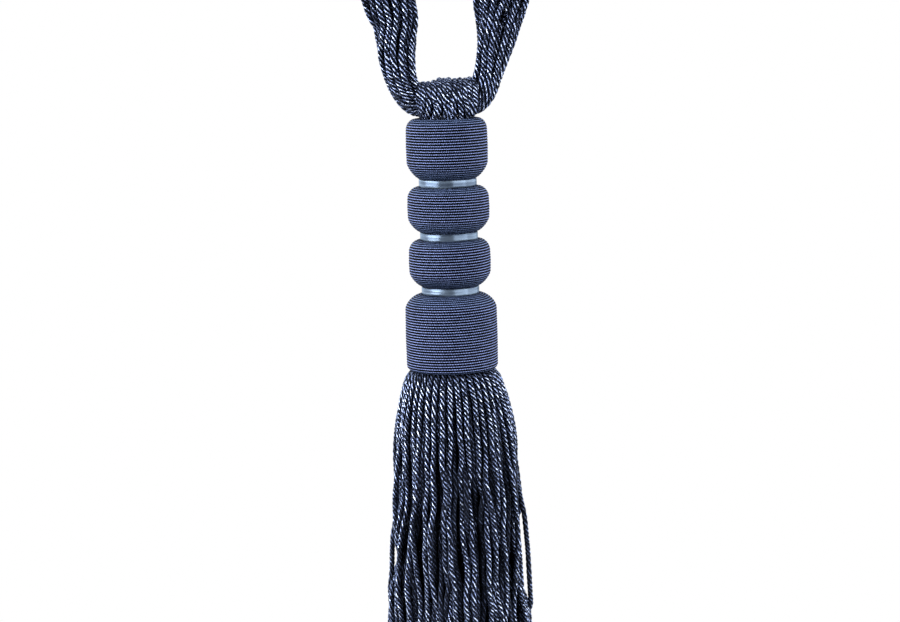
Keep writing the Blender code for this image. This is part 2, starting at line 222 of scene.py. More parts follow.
@dataclass(frozen=True)
class Finish:
    """A material with a Principled shader."""

    name: str
    roughness: float = 0.5
    gloss: float = 0.5
    gloss_tint: Colour = (1.0, 1.0, 1.0)
    lustre: float = 0.0

    def start(self) -> tuple[bpy.types.Material, Graph, bpy.types.NodeInputs]:
        """Make the material with the values that are the same all over.

        Returns:
            The material, its graph and its shader's inputs.
        """
        material = bpy.data.materials.new(self.name)
        material.use_nodes = True
        shader = material.node_tree.nodes["Principled BSDF"].inputs
        shader["Roughness"].default_value = self.roughness
        shader["Metallic"].default_value = self.lustre
        shader["Specular IOR Level"].default_value = self.gloss
        shader["Specular Tint"].default_value = (*self.gloss_tint, 1.0)
        return material, Graph(material.node_tree), shader

    @staticmethod
    def raise_surface(graph: Graph, shader: bpy.types.NodeInputs, height: Socket, depth: float) -> None:
        """Feed a height, of which one stands for the depth in metres, into the shader's normal."""
        bump = graph.add("Bump", {"Height": height, "Distance": depth})
        graph.feed(shader["Normal"], bump.outputs["Normal"])


@dataclass(frozen=True)
class CordFinish(Finish):
    """Lustrous twisted viscose cord: navy strands of dull and shiny fibres, with painted shade in the grooves
    between them, painted highlights on the strands' crests and painted glints.
    """

    # The groove colour is painted shade between the strands, bright is the lit crest colour, a painted
    # highlight, and glint is a painted glint.
    groove: Colour = (0.0008, 0.001, 0.0016)
    dull: Colour = (0.005, 0.0062, 0.011)
    bright: Colour = (0.32, 0.415, 0.75)
    painted_glint: Colour = (0.72, 0.82, 1.0)
    rough_dull: float = 0.42
    rough_bright: float = 0.28
    fibre_depth: float = 0.10 * MM

    def material(self, effects: Effects) -> bpy.types.Material:
        """Build the cord's material from its mesh's yarn and crest values and the strands' tones with painted
        shade.

        Args:
            effects: the shared node groups.

        Returns:
            The material.
        """
        material, graph, shader = self.start()
        yarn = graph.mesh_value("yarn", "Vector")
        crest, tone = graph.mesh_value("crest"), graph.mesh_value("tone")
        fibres = effects.fibres.place(graph, Vector=yarn, Across=1.6, Along=1.1)
        fine = effects.fibres.place(graph, Vector=yarn, Across=5.0, Along=0.6)
        drift = effects.drift.place(graph, Vector=yarn, Scale=0.16, Low=0.8, High=1.25)
        # The strands' own tones times their painted shade, with a slow random drift.
        shade = graph.times(tone, drift["Shade"])
        # A painted highlight band along each strand's crest; it also limits the metal to the crest.
        ridge = graph.spread(crest, 0.78, 0.96)
        grain = graph.spread(fine["Streak"], 0.0, 1.0, 0.6, 1.2)
        streak = graph.times(graph.spread(fibres["Streak"], 0.2, 0.75, 0.0, 1.2), grain)
        lit = graph.times(streak, graph.times(shade, ridge))
        strand = graph.blend(graph.maths("MINIMUM", lit, 1.0), self.dull, self.bright)
        # Painted shade in the grooves between the strands.
        strand = graph.blend(graph.spread(crest, 0.3, 0.7), self.groove, strand)
        # Painted glints where the lit crest is strongest.
        painted_glint_mask = graph.spread(lit, 0.75, 1.45)
        graph.feed(shader["Base Color"], graph.blend(painted_glint_mask, strand, self.painted_glint))
        graph.feed(shader["Metallic"], graph.times(ridge, self.lustre))
        graph.feed(shader["Roughness"], graph.spread(lit, 0.2, 0.9, self.rough_dull, self.rough_bright))
        self.raise_surface(graph, shader, fine["Height"], self.fibre_depth)
        return material


@dataclass(frozen=True)
class ThreadFinish(Finish):
    """Fine two-ply thread wound side by side: painted highlights on the beads along each turn, painted shade
    in the gaps between the turns and on the undersides.
    """

    # The colours for the gaps are painted shade between the turns, less dark on the bends; the bright colours
    # are the lit turns, duller on the bends.
    painted_gap_shade: Colour = (0.0001, 0.0008, 0.0014)
    painted_gap_shade_bent: Colour = (0.003, 0.006, 0.014)
    dull: Colour = (0.006, 0.012, 0.028)
    bright: Colour = (0.25, 0.32, 0.66)
    bright_bent: Colour = (0.215, 0.30, 0.58)
    beads: float = 112.38
    bead_slant: float = 0.55
    bead_height: float = 0.35
    bead_depth: float = 0.12 * MM

    def material(self, effects: Effects) -> bpy.types.Material:
        """Build the wound thread's material from its winding map and its slope.

        Args:
            effects: the shared node groups.

        Returns:
            The material.
        """
        material, graph, shader = self.start()
        winding = graph.add("UVMap", uv_map=WINDING_MAP).outputs["UV"]
        parts = graph.add("SeparateXYZ", {"Vector": winding}).outputs
        across = graph.maths("FRACT", parts["Y"])
        hill = graph.maths("SINE", graph.times(across, math.pi))
        along = graph.times(graph.maths("ADD", parts["X"], graph.maths("FLOOR", parts["Y"])), self.beads)
        slanted = graph.maths("ADD", along, graph.times(across, self.bead_slant))
        wave = graph.maths("SINE", graph.times(slanted, math.tau))
        slope, place = graph.mesh_value("slope"), graph.place()
        belly = graph.spread(graph.maths("ABSOLUTE", slope), 0.25, 0.8, 1.0, 0.0)
        # Painted shade on the undersides: turns darken where the surface faces down.
        under = graph.spread(slope, -0.85, -0.2, 0.45, 1.0)
        drift = effects.drift.place(graph, Vector=place, Scale=160.0, Low=0.9, High=1.1)
        fibres = effects.fibres.place(graph, Vector=place, Across=900.0, Along=2600.0)
        # Painted highlights on the beads along each turn.
        lit = graph.times(graph.spread(wave, -0.8, 0.8, 0.35, 1.0), drift["Shade"])
        lit = graph.times(lit, graph.spread(fibres["Streak"], 0.0, 1.0, 0.75, 1.1))
        lit = graph.times(lit, under)
        turn = graph.blend(lit, self.dull, graph.blend(belly, self.bright_bent, self.bright))
        painted_gap_shade = graph.blend(belly, self.painted_gap_shade_bent, self.painted_gap_shade)
        # Painted shade in the gaps between the turns.
        graph.feed(shader["Base Color"], graph.blend(graph.spread(hill, 0.87, 1.0), painted_gap_shade, turn))
        height = graph.maths("ADD", graph.times(wave, self.bead_height), hill)
        self.raise_surface(graph, shader, height, self.bead_depth)
        return material


@dataclass(frozen=True)
class RibbonFinish(Finish):
    """Narrow satin ribbon: steel blue, glossy, with fine warp lines."""

    pale: Colour = (0.165, 0.22, 0.30)
    deep: Colour = (0.03, 0.045, 0.08)
    warp_depth: float = 0.15 * MM

    def material(self, effects: Effects) -> bpy.types.Material:
        """Build the ribbon's material.

        Args:
            effects: the shared node groups.

        Returns:
            The material.
        """
        material, graph, shader = self.start()
        place = graph.place()
        warp = effects.fibres.place(graph, Vector=place, Across=35.0, Along=1000.0)
        drift = effects.drift.place(graph, Vector=place, Scale=160.0, Low=0.85, High=1.0)
        shade = graph.times(drift["Shade"], graph.spread(warp["Streak"], 0.0, 1.0, 0.25, 1.0))
        graph.feed(shader["Base Color"], graph.blend(shade, self.deep, self.pale))
        self.raise_surface(graph, shader, warp["Height"], self.warp_depth)
        return material


@dataclass(frozen=True)
class PlainFinish(Finish):
    """A plain matt surface with a trace of unevenness, for the floor."""

    colour: Colour = (0.86, 0.86, 0.86)

    def material(self, effects: Effects) -> bpy.types.Material:
        """Build the plain material.

        Args:
            effects: the shared node groups.

        Returns:
            The material.
        """
        material, graph, shader = self.start()
        drift = effects.drift.place(graph, Vector=graph.place(), Scale=3.0, Low=0.97, High=1.0)
        graph.feed(shader["Base Color"], graph.blend(drift["Shade"], (0.0, 0.0, 0.0), self.colour))
        return material


# ---- Mesh helpers ----
@dataclass
class Skin:
    """A mesh in the making: corners, faces of three or four corners and values that the finish reads."""

    points: Array
    faces: list
    bake_map: list
    numbers: dict[str, Array] = field(default_factory=dict)
    vectors: dict[str, Array] = field(default_factory=dict)
    maps: dict[str, list] = field(default_factory=dict)

    def piece(self, name: str, material: bpy.types.Material, slot: str, *nodes: str) -> bpy.types.Object:
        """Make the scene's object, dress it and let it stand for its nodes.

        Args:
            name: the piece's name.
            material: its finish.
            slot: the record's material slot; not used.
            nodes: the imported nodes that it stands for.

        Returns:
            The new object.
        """
        mesh = bpy.data.meshes.new(name)
        mesh.from_pydata(self.points, [], self.faces)
        mesh.shade_smooth()
        for label, values in self.numbers.items():
            mesh.attributes.new(label, "FLOAT", "POINT").data.foreach_set("value", values.astype(np.float32))
        for label, values in self.vectors.items():
            target = mesh.attributes.new(label, "FLOAT_VECTOR", "POINT")
            target.data.foreach_set("vector", values.astype(np.float32).ravel())
        for label, corners in {**self.maps, BAKE_MAP: self.bake_map}.items():
            flat = np.asarray(corners, np.float32).ravel()
            mesh.uv_layers.new(name=label).data.foreach_set("uv", flat)
        mesh.materials.append(material)
        piece = bpy.data.objects.new(name, mesh)
        bpy.context.scene.collection.objects.link(piece)
        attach(piece, ROOT)
        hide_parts(*nodes)
        triangles = sum(len(face) - 2 for face in self.faces)
        LOG.info("%s: %d triangles", name, triangles)
        return piece


def smooth_lines(stations: Array, parts: int, closed: bool) -> Array:
    """Run smooth curves through the stations of several lines.

    Args:
        stations: the lines' points, as lines x stations x 3.
        parts: curve points for each station.
        closed: whether each line comes back to its start.

    Returns:
        The denser points, in the same layout.
    """
    if closed:
        before, start, end, after = (np.roll(stations, shift, axis=1) for shift in (1, 0, -1, -2))
    else:
        first = 2 * stations[:, :1] - stations[:, 1:2]
        last = 2 * stations[:, -1:] - stations[:, -2:-1]
        padded = np.concatenate((first, stations, last), axis=1)
        spans = stations.shape[1] - 1
        before, start, end, after = (padded[:, k : k + spans] for k in range(4))
    t = (np.arange(parts) / parts)[None, None, :, None]
    before, start, end, after = (points[:, :, None, :] for points in (before, start, end, after))
    square, cube = 2 * before - 5 * start + 4 * end - after, 3 * (start - end) + after - before
    curve = end - before + t * (square + t * cube)
    dense = (start + 0.5 * t * curve).reshape(len(stations), -1, 3)
    return dense if closed else np.concatenate((dense, stations[:, -1:]), axis=1)


def even_lines(lines: Array, count: int, closed: bool) -> tuple[Array, Array]:
    """Place the same number of points at even steps along each line.

    Args:
        lines: dense lines, as lines x points x 3.
        count: points wanted on each line.
        closed: whether each line comes back to its start.

    Returns:
        The even points and each line's length.
    """
    if closed:
        lines = np.concatenate((lines, lines[:, :1]), axis=1)
    steps = np.linalg.norm(np.diff(lines, axis=1), axis=2)
    reach = np.concatenate((np.zeros((len(lines), 1)), np.cumsum(steps, axis=1)), axis=1)
    marks = np.linspace(0.0, 1.0, count, endpoint=not closed)
    even = np.empty((len(lines), count, 3))
    for line, far, out in zip(lines, reach, even):
        for axis in range(3):
            out[:, axis] = np.interp(marks * far[-1], far, line[:, axis])
    return even, reach[:, -1]


def unit(vectors: Array) -> Array:
    """Vectors scaled to a length of one."""
    return vectors / np.linalg.norm(vectors, axis=-1, keepdims=True)


@dataclass(frozen=True)
class Packing:
    """Settles round cords that lie side by side, so that none passes through another."""

    spacing: float
    rounds: int
    pull: float = 0.06
    stiffness: float = 0.22
    firmness: float = 0.8

    def parted(self, places: Array) -> Array:
        """Push apart the cords that overlap.

        Args:
            places: the cords' centres in each station's plane, as cords x stations x 2.

        Returns:
            The moved centres.
        """
        between = places[:, None] - places[None, :]
        distance = np.linalg.norm(between, axis=-1)
        near = (distance < self.spacing) & (distance > 0.0)
        push = np.where(near, 0.5 * (self.spacing - distance) / np.maximum(distance, TINY), 0.0)
        return places + self.firmness * (between * push[..., None]).sum(axis=1)

    def settled(self, targets: Array, confine: Callable[[Array], Array], closed: bool) -> Array:
        """Find places near the targets where the cords lie clear of each other.

        Args:
            targets: where the cords would lie by themselves, as cords x stations x 2.
            confine: brings strayed centres back into the room that they have.
            closed: whether the stations form a closed round.

        Returns:
            The settled centres.
        """
        places = targets.copy()
        for _ in range(self.rounds):
            places += self.pull * (targets - places)
            if closed:
                bend = np.roll(places, 1, axis=1) + np.roll(places, -1, axis=1) - 2 * places
                places += self.stiffness * bend
            else:
                bend = places[:, :-2] + places[:, 2:] - 2 * places[:, 1:-1]
                places[:, 1:-1] += self.stiffness * bend
            places = confine(self.parted(places))
        return places


# ---- Twisted cord ----
class Twist(Enum):
    """Which way strands or turns run, seen from outside: S falls to the right and Z rises to it."""

    S = 1
    Z = -1


class Gauge(NamedTuple):
    """How finely a cord's strands are made: outline points on each, and rings in one lay."""

    points: int
    rings: int


WRAP_GAUGE = Gauge(5, 12)
LOOP_GAUGE = Gauge(5, 8)
LOOP_GAUGE_INSIDE = Gauge(4, 5)
FINE = Gauge(5, 10)
MIDDLING = Gauge(4, 6)
COARSE = Gauge(3, 4)


@dataclass(frozen=True)
class TwistedCord:
    """The cord that the loop, the neck wrap and the skirt are made of: soft strands twisted together."""

    diameter: float = 2.9 * MM
    lay: float = 10.6 * MM
    strands: int = 4
    strand_depth: float = 0.60 * MM
    strand_width: float = 0.66 * MM
    strand_turn: float = -0.4
    strand_tones: tuple[float, ...] = (1.5, 0.95, 1.3, 0.9)
    slack: float = 0.75
    slack_rate: float = 0.4
    # The next two set painted shade on strand sides that face the bundle's middle: where it starts and how
    # dark it gets.
    painted_shade_start: float = 0.5
    painted_shadow: float = 0.22
    twist: Twist = Twist.S
    lay_spread: tuple[float, float] = (0.92, 1.08)
    tone_spread: tuple[float, float] = (0.85, 1.15)
    end_taper: tuple[float, ...] = (0.97, 0.86, 0.6)
    hub_crest: float = 0.5

    def skin(
        self, stations: Array, gauge: Gauge, closed: bool, seed: int, heart: Heart, shade: Sequence[float]
    ) -> Skin:
        """Make several cords along their own lines.

        Args:
            stations: the cords' centre lines, as cords x stations x 3.
            gauge: how finely they are made.
            closed: whether each cord comes back to its start.
            seed: starts the draw of each cord's phase and tone.
            heart: finds the bundle's middle beside each point; a cord gets painted shade on the sides that
                face it.
            shade: painted light and shade on the cords at even steps from start to end, below 1 where they lie
                deep.

        Returns:
            The cords as one skin.
        """
        draw = np.random.default_rng(seed)
        dense = smooth_lines(stations, CURVE_PARTS, closed)
        length = np.linalg.norm(np.diff(dense, axis=1), axis=2).sum(axis=1).mean()
        count = round(length * gauge.rings / self.lay)
        line, lengths = even_lines(dense, count, closed)
        along, side = self.directions(line, closed)
        travel = np.linspace(0.0, 1.0, count, endpoint=not closed)[None, :]
        angles = math.tau * np.arange(gauge.points) / gauge.points
        miss = self.closing_turn(along, side)[:, None] if closed else None
        turn = self.strand_turns(lengths[:, None], travel, miss, draw)
        surface, hubs = self.surface(line, (side, np.cross(along, side)), turn, angles, closed)
        yarn = self.yarn(travel * lengths[:, None], angles, draw)
        # Painted light and shade along each cord, from the shade values.
        shades = np.interp(travel[0], np.linspace(0.0, 1.0, len(shade)), shade)
        tone = self.tones(line, surface, heart, shades, draw).ravel()
        crest = np.broadcast_to(0.5 + 0.5 * np.cos(angles), surface.shape[:-1]).ravel()
        faces, corners = self.bands(self.strands * len(line), count, gauge.points, closed)
        points, yarn = surface.reshape(-1, 3), yarn.reshape(-1, 3)
        if not closed:
            points, yarn = np.concatenate((points, hubs)), np.concatenate((yarn, np.zeros_like(hubs)))
            crest = np.append(crest, np.full(len(hubs), self.hub_crest))
            tone = np.append(tone, np.full(len(hubs), shades[-1]))
        return Skin(points, faces, corners, {"crest": crest, "tone": tone}, {"yarn": yarn})

    def strand_turns(self, lengths: Array, travel: Array, miss: Array | None, draw: Draw) -> Array:
        """The angle of each strand round its cord's middle, with the twist a little slack here and there.

        Args:
            lengths: the cords' lengths.
            travel: the rings' places along a cord, from 0 to 1.
            miss: for closed cords, the angle by which the carried side misses its start.
            draw: the source of the cords' phases.

        Returns:
            The angles, as cords x strands x rings.
        """
        turns = lengths / self.lay * draw.uniform(*self.lay_spread, lengths.shape)
        if miss is not None:
            turns = np.round(turns) - miss / math.tau
        first, slow = draw.uniform(0.0, math.tau, (2, *lengths.shape))
        turn = first - self.twist.value * math.tau * turns * travel
        turn += self.slack * np.sin(math.tau * np.round(turns * self.slack_rate) * travel + slow)
        shares = math.tau * np.arange(self.strands) / self.strands
        return turn[:, None, :] + shares[None, :, None]

    def surface(
        self, line: Array, frames: tuple[Array, Array], turn: Array, angles: Array, closed: bool
    ) -> tuple[Array, Array]:
        """The strands' outlines round every ring's centre.

        Args:
            line: the ring centres, as cords x rings x 3.
            frames: two directions across the cord at each ring.
            turn: the strands' angles, as cords x strands x rings.
            angles: the outline points' angles round a strand.
            closed: whether each cord comes back to its start.

        Returns:
            The points, as cords x strands x rings x outline x 3, and the middle of each strand's two ends.
        """
        line, side, up = (part[:, None, :, None, :] for part in (line, *frames))
        turn, angles = turn[..., None, None], angles[:, None]
        outward = side * np.cos(turn) + up * np.sin(turn)
        sideways = up * np.cos(turn) - side * np.sin(turn)
        taper = np.ones((line.shape[2], 1, 1))
        if not closed:
            taper[-len(self.end_taper) :, 0, 0] = self.end_taper
        centre = (self.diameter / 2 - self.strand_depth) * outward
        strand = self.strand_depth * np.cos(angles) * outward + self.strand_width * np.sin(angles) * sideways
        return line + (centre + strand) * taper, (line + centre * taper)[:, :, (0, -1), 0].reshape(-1, 3)

    def yarn(self, far: Array, angles: Array, draw: Draw) -> Array:
        """Each surface point's place in its own yarn, in millimetres, which the finish's fibres follow.

        Args:
            far: each ring's distance along its cord, as cords x rings.
            angles: the outline points' angles round a strand.
            draw: the source of the strands' own shifts.

        Returns:
            The places, as cords x strands x rings x outline x 3.
        """
        far = far[:, None, :, None] / MM
        fibre = angles + self.strand_turn * far
        yarn = np.empty((len(far), self.strands, far.shape[2], len(angles), 3))
        yarn[..., 0] = self.strand_width / MM * np.cos(fibre)
        yarn[..., 1] = self.strand_width / MM * np.sin(fibre)
        yarn[..., 2] = far
        return yarn + draw.uniform(0.0, 90.0, (*yarn.shape[:2], 1, 1, 3))

    def tones(self, line: Array, surface: Array, heart: Heart, shades: Array, draw: Draw) -> Array:
        """How light each surface point is: the strand's own tones, with painted shade towards the bundle's
        middle.

        Args:
            line: the ring centres, as cords x rings x 3.
            surface: the surface points.
            heart: finds the bundle's middle beside each point.
            shades: the painted light and shade on the cords at each ring.
            draw: the source of the strands' tones.

        Returns:
            The tones, as cords x strands x rings x outline.
        """
        # Painted shade: strand sides that face the bundle's middle are darkened, standing in for the shade of
        # the other cords.
        away = unit(line - heart(line))[:, None, :, None, :]
        facing = (unit(surface - line[:, None, :, None, :]) * away).sum(axis=-1)
        painted_light_share = np.clip((facing - self.painted_shade_start) / (1.0 - self.painted_shade_start), 0.0, 1.0)
        tones = draw.uniform(*self.tone_spread, surface.shape[:2]) * np.array(self.strand_tones)
        tones = tones[:, :, None, None] * shades[None, None, :, None]
        return tones * (self.painted_shadow + (1.0 - self.painted_shadow) * painted_light_share)

    @staticmethod
    def directions(line: Array, closed: bool) -> tuple[Array, Array]:
        """The direction of each cord at each ring, and a side direction carried along it without turning.

        Args:
            line: the ring centres, as cords x rings x 3.
            closed: whether each cord comes back to its start.

        Returns:
            The unit vectors along and to the side.
        """
        if closed:
            along = unit(np.roll(line, -1, axis=1) - np.roll(line, 1, axis=1))
        else:
            along = unit(np.gradient(line, axis=1))
        side = np.empty_like(along)
        last = np.broadcast_to(np.array((0.0, 1.0, 0.0)), along[:, 0].shape)
        for k in range(line.shape[1]):
            heading = along[:, k]
            last = unit(last - (last * heading).sum(axis=1, keepdims=True) * heading)
            side[:, k] = last
        return along, side

    @staticmethod
    def closing_turn(along: Array, side: Array) -> Array:
        """The angle by which each closed cord's carried side misses its start.

        Args:
            along: the cords' directions at each ring.
            side: the side directions carried along them.

        Returns:
            The angles, cord by cord.
        """
        heading, last = along[:, 0], side[:, -1]
        last = unit(last - (last * heading).sum(axis=1, keepdims=True) * heading)
        up = np.cross(heading, side[:, 0])
        return np.arctan2((last * up).sum(axis=1), (last * side[:, 0]).sum(axis=1))

    @staticmethod
    def bands(strands: int, count: int, points: int, closed: bool) -> tuple[list, list]:
        """The faces of the strands' surface and their places on the bake map, a strip for each strand.

        Args:
            strands: number of strands.
            count: rings on each.
            points: outline points of each ring.
            closed: whether the last ring joins the first.

        Returns:
            The faces, and the map place of each of their corners.
        """
        spans = count if closed else count - 1
        inset, strip, levels = 0.04, 1.0 / strands, spans + 4

        def across(strand: Array | int, point: Array | int) -> Array | float:
            """How far across the map a place on a strand's outline lies."""
            return (strand + inset + (1 - 2 * inset) * point / points) * strip

        strand, ring, point = np.indices((strands, spans, points))
        around, after = (point + 1) % points, (ring + 1) % count
        base, ahead = (strand * count + ring) * points, (strand * count + after) * points
        quads = np.stack((base + point, base + around, ahead + around, ahead + point), axis=-1)
        left, right = across(strand, point), across(strand, point + 1)
        low, high = (ring + 2) / levels, (ring + 3) / levels
        places = np.stack((left, low, right, low, right, high, left, high), axis=-1)
        faces, corners = quads.reshape(-1, 4).tolist(), places.reshape(-1, 2).tolist()
        if closed:
            return faces, corners
        ends = ((0, 2.0 / levels, 0.5 / levels), (count - 1, (spans + 2.0) / levels, (spans + 3.5) / levels))
        for strand in range(strands):
            for end, (ring, level, tip) in enumerate(ends):
                rim = (strand * count + ring) * points
                hub = strands * count * points + 2 * strand + end
                for point in range(points):
                    edge = (
                        (rim + point, across(strand, point)),
                        (rim + (point + 1) % points, across(strand, point + 1)),
                    )
                    (first, here), (second, there) = edge if end else edge[::-1]
                    faces.append([hub, first, second])
                    corners += [((here + there) / 2, tip), (here, level), (there, level)]
        return faces, corners


# ---- The hanging loop ----
class HankRow(NamedTuple):
    """A section of the hank in millimetres: its centre beside and above the head's top, and two widths."""

    x: float
    z: float
    across: float
    deep: float


@dataclass
class HangingLoop:
    """The hank that goes round the curtain and over the hook: 22 closed rounds of cord, in two rings."""

    cord: TwistedCord
    finish: bpy.types.Material
    outer: int = 11
    inner: int = 11
    inner_share: float = 0.72
    inner_turn: float = 0.25
    sway: float = 0.5
    wander: tuple[float, float] = (0.14, 0.10)
    draw_in: float = 0.02
    closeness: float = 0.94
    flatness: float = 0.82
    steps: int = 4
    # Painted light and shade along the loop's cords; the inner ring is darker on the left, as painted shade
    # between the outer cords.
    outer_shades: tuple[float, ...] = (1.22, 1.2, 1.08, 0.98, 1.0)
    inner_shades: tuple[float, ...] = (0.6, 0.58, 0.78, 0.98, 1.0)
    under_wrap: tuple[HankRow, ...] = (
        HankRow(3.4, 7.9, 14.4, 17.0),
        HankRow(8.2, 7.7, 14.4, 17.0),
    )
    left: tuple[HankRow, ...] = (
        HankRow(12.9, 7.9, 13.8, 16.8),
        HankRow(16.8, 11.8, 13.7, 16.4),
        HankRow(19.5, 18.0, 14.6, 15.6),
        HankRow(21.1, 27.4, 16.9, 14.4),
        HankRow(21.2, 35.0, 19.4, 12.4),
        HankRow(21.3, 43.5, 21.2, 11.2),
        HankRow(23.9, 52.5, 23.8, 10.2),
        HankRow(29.0, 80.0, 26.0, 9.6),
        HankRow(32.4, 108.0, 26.0, 9.6),
        HankRow(32.4, 135.0, 24.0, 10.4),
        HankRow(29.5, 160.0, 21.0, 11.6),
    )
    right: tuple[HankRow, ...] = (
        HankRow(12.8, 8.2, 13.8, 16.8),
        HankRow(16.4, 12.4, 13.6, 16.4),
        HankRow(19.0, 19.0, 13.6, 15.6),
        HankRow(21.3, 27.4, 15.8, 14.4),
        HankRow(23.0, 35.0, 18.6, 12.6),
        HankRow(24.4, 43.5, 22.0, 11.2),
        HankRow(26.1, 52.5, 28.0, 10.0),
        HankRow(31.0, 80.0, 28.0, 9.4),
        HankRow(34.2, 108.0, 27.0, 9.6),
        HankRow(33.4, 135.0, 24.6, 10.4),
        HankRow(29.9, 160.0, 21.0, 11.6),
    )
    to_hook: tuple[HankRow, ...] = (
        HankRow(24.6, 183.0, 17.6, 13.4),
        HankRow(20.8, 200.0, 15.0, 15.6),
        HankRow(17.3, 214.0, 13.0, 17.6),
        HankRow(10.5, 226.0, 11.6, 19.4),
    )
    crown: HankRow = HankRow(0.0, 230.5, 11.0, 20.0)

    def half_round(self, own: tuple[HankRow, ...], way: float) -> list[HankRow]:
        """One side's sections from the wrap up to the hook: the left for a way of -1, the right for 1."""
        return [row._replace(x=way * row.x) for row in (*self.under_wrap, *own, *self.to_hook)]

    def sections(self) -> tuple[Array, Array, Array]:
        """The hank's sections all the way round.

        Returns:
            Their centres, their outward directions and their half widths across and deep.
        """
        left, right = self.half_round(self.left, -1.0), self.half_round(self.right, 1.0)
        rows = np.array([*left, self.crown, *reversed(right)], float) * MM
        flat = smooth_lines(np.stack((rows[:, :3], rows[:, 1:4])), self.steps, True)
        centre = np.zeros((flat.shape[1], 3))
        centre[:, 0] = flat[0, :, 0]
        centre[:, 2] = flat[0, :, 1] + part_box("top_mould")[1].z
        along = unit(np.roll(centre, -1, axis=0) - np.roll(centre, 1, axis=0))
        outward = np.stack((-along[:, 2], np.zeros(len(along)), along[:, 0]), axis=1)
        halves = np.stack((flat[0, :, 2], flat[1, :, 2]), axis=1) / 2
        return centre, outward, halves

    def cord_places(self, halves: Array) -> Array:
        """Each cord's settled place in each section, outer cords first.

        Args:
            halves: the sections' half widths.

        Returns:
            The places as cords x sections x 2.
        """
        draw = np.random.default_rng(16)
        count = len(halves)
        room = np.maximum(halves - self.cord.diameter / 2, 0.1 * MM)
        travel = math.tau * np.arange(count) / count
        targets = []
        for cords, share, shift in ((self.outer, 1.0, 0.0), (self.inner, self.inner_share, self.inner_turn)):
            for ring in range(cords):
                angle = math.tau * (ring + shift) / cords + self.sway * np.sin(2 * travel + 0.6)
                first, second = draw.uniform(0.0, math.tau, 2)
                slow, quick = np.sin(3 * travel + first), np.sin(7 * travel + second)
                angle = angle + self.wander[0] * slow + self.wander[1] * quick
                reach = share * (1.0 - self.draw_in * (1.0 + np.sin(5 * travel + second)))
                across, deep = room[:, 0] * reach * np.cos(angle), room[:, 1] * reach * np.sin(angle)
                targets.append(np.stack((across, deep), axis=1))

        def confine(places: Array) -> Array:
            """Bring centres that left the hank's oval back to its rim."""
            return places / np.maximum(np.linalg.norm(places / room, axis=-1, keepdims=True), 1.0)

        packing = Packing(self.closeness * self.cord.diameter, rounds=90)
        return packing.settled(np.array(targets), confine, True)

    def build(self) -> list[bpy.types.Object]:
        """Make the loop's cords.

        Returns:
            Three pieces: the outer ring's front and back, and the inner ring.
        """
        centre, outward, halves = self.sections()
        places = self.cord_places(halves)
        deep = np.array((0.0, 1.0, 0.0))
        lines = centre + places[..., :1] * outward + places[..., 1:] * deep
        half = self.outer // 2

        def heart(points: Array) -> Array:
            """The hank's middle beside each point, drawn most of the way out to it across the hank; cords get
            painted shade on the sides that face it.
            """
            middle = centre[np.linalg.norm(points[:, :, None, :] - centre, axis=-1).argmin(axis=-1)]
            return middle + self.flatness * (points - middle) * (1.0 - deep)

        batches = (
            ("loop_cords_front", lines[half : self.outer], LOOP_GAUGE, self.outer_shades),
            ("loop_cords_back", lines[:half], LOOP_GAUGE, self.outer_shades),
            ("loop_cords_inside", lines[self.outer :], LOOP_GAUGE_INSIDE, self.inner_shades),
        )
        pieces = []
        for seed, (name, group, gauge, shade) in enumerate(batches, 21):
            skin = self.cord.skin(group, gauge, True, seed, heart, shade)
            pieces.append(skin.piece(name, self.finish, "cord", "hanging_loop"))
        return pieces


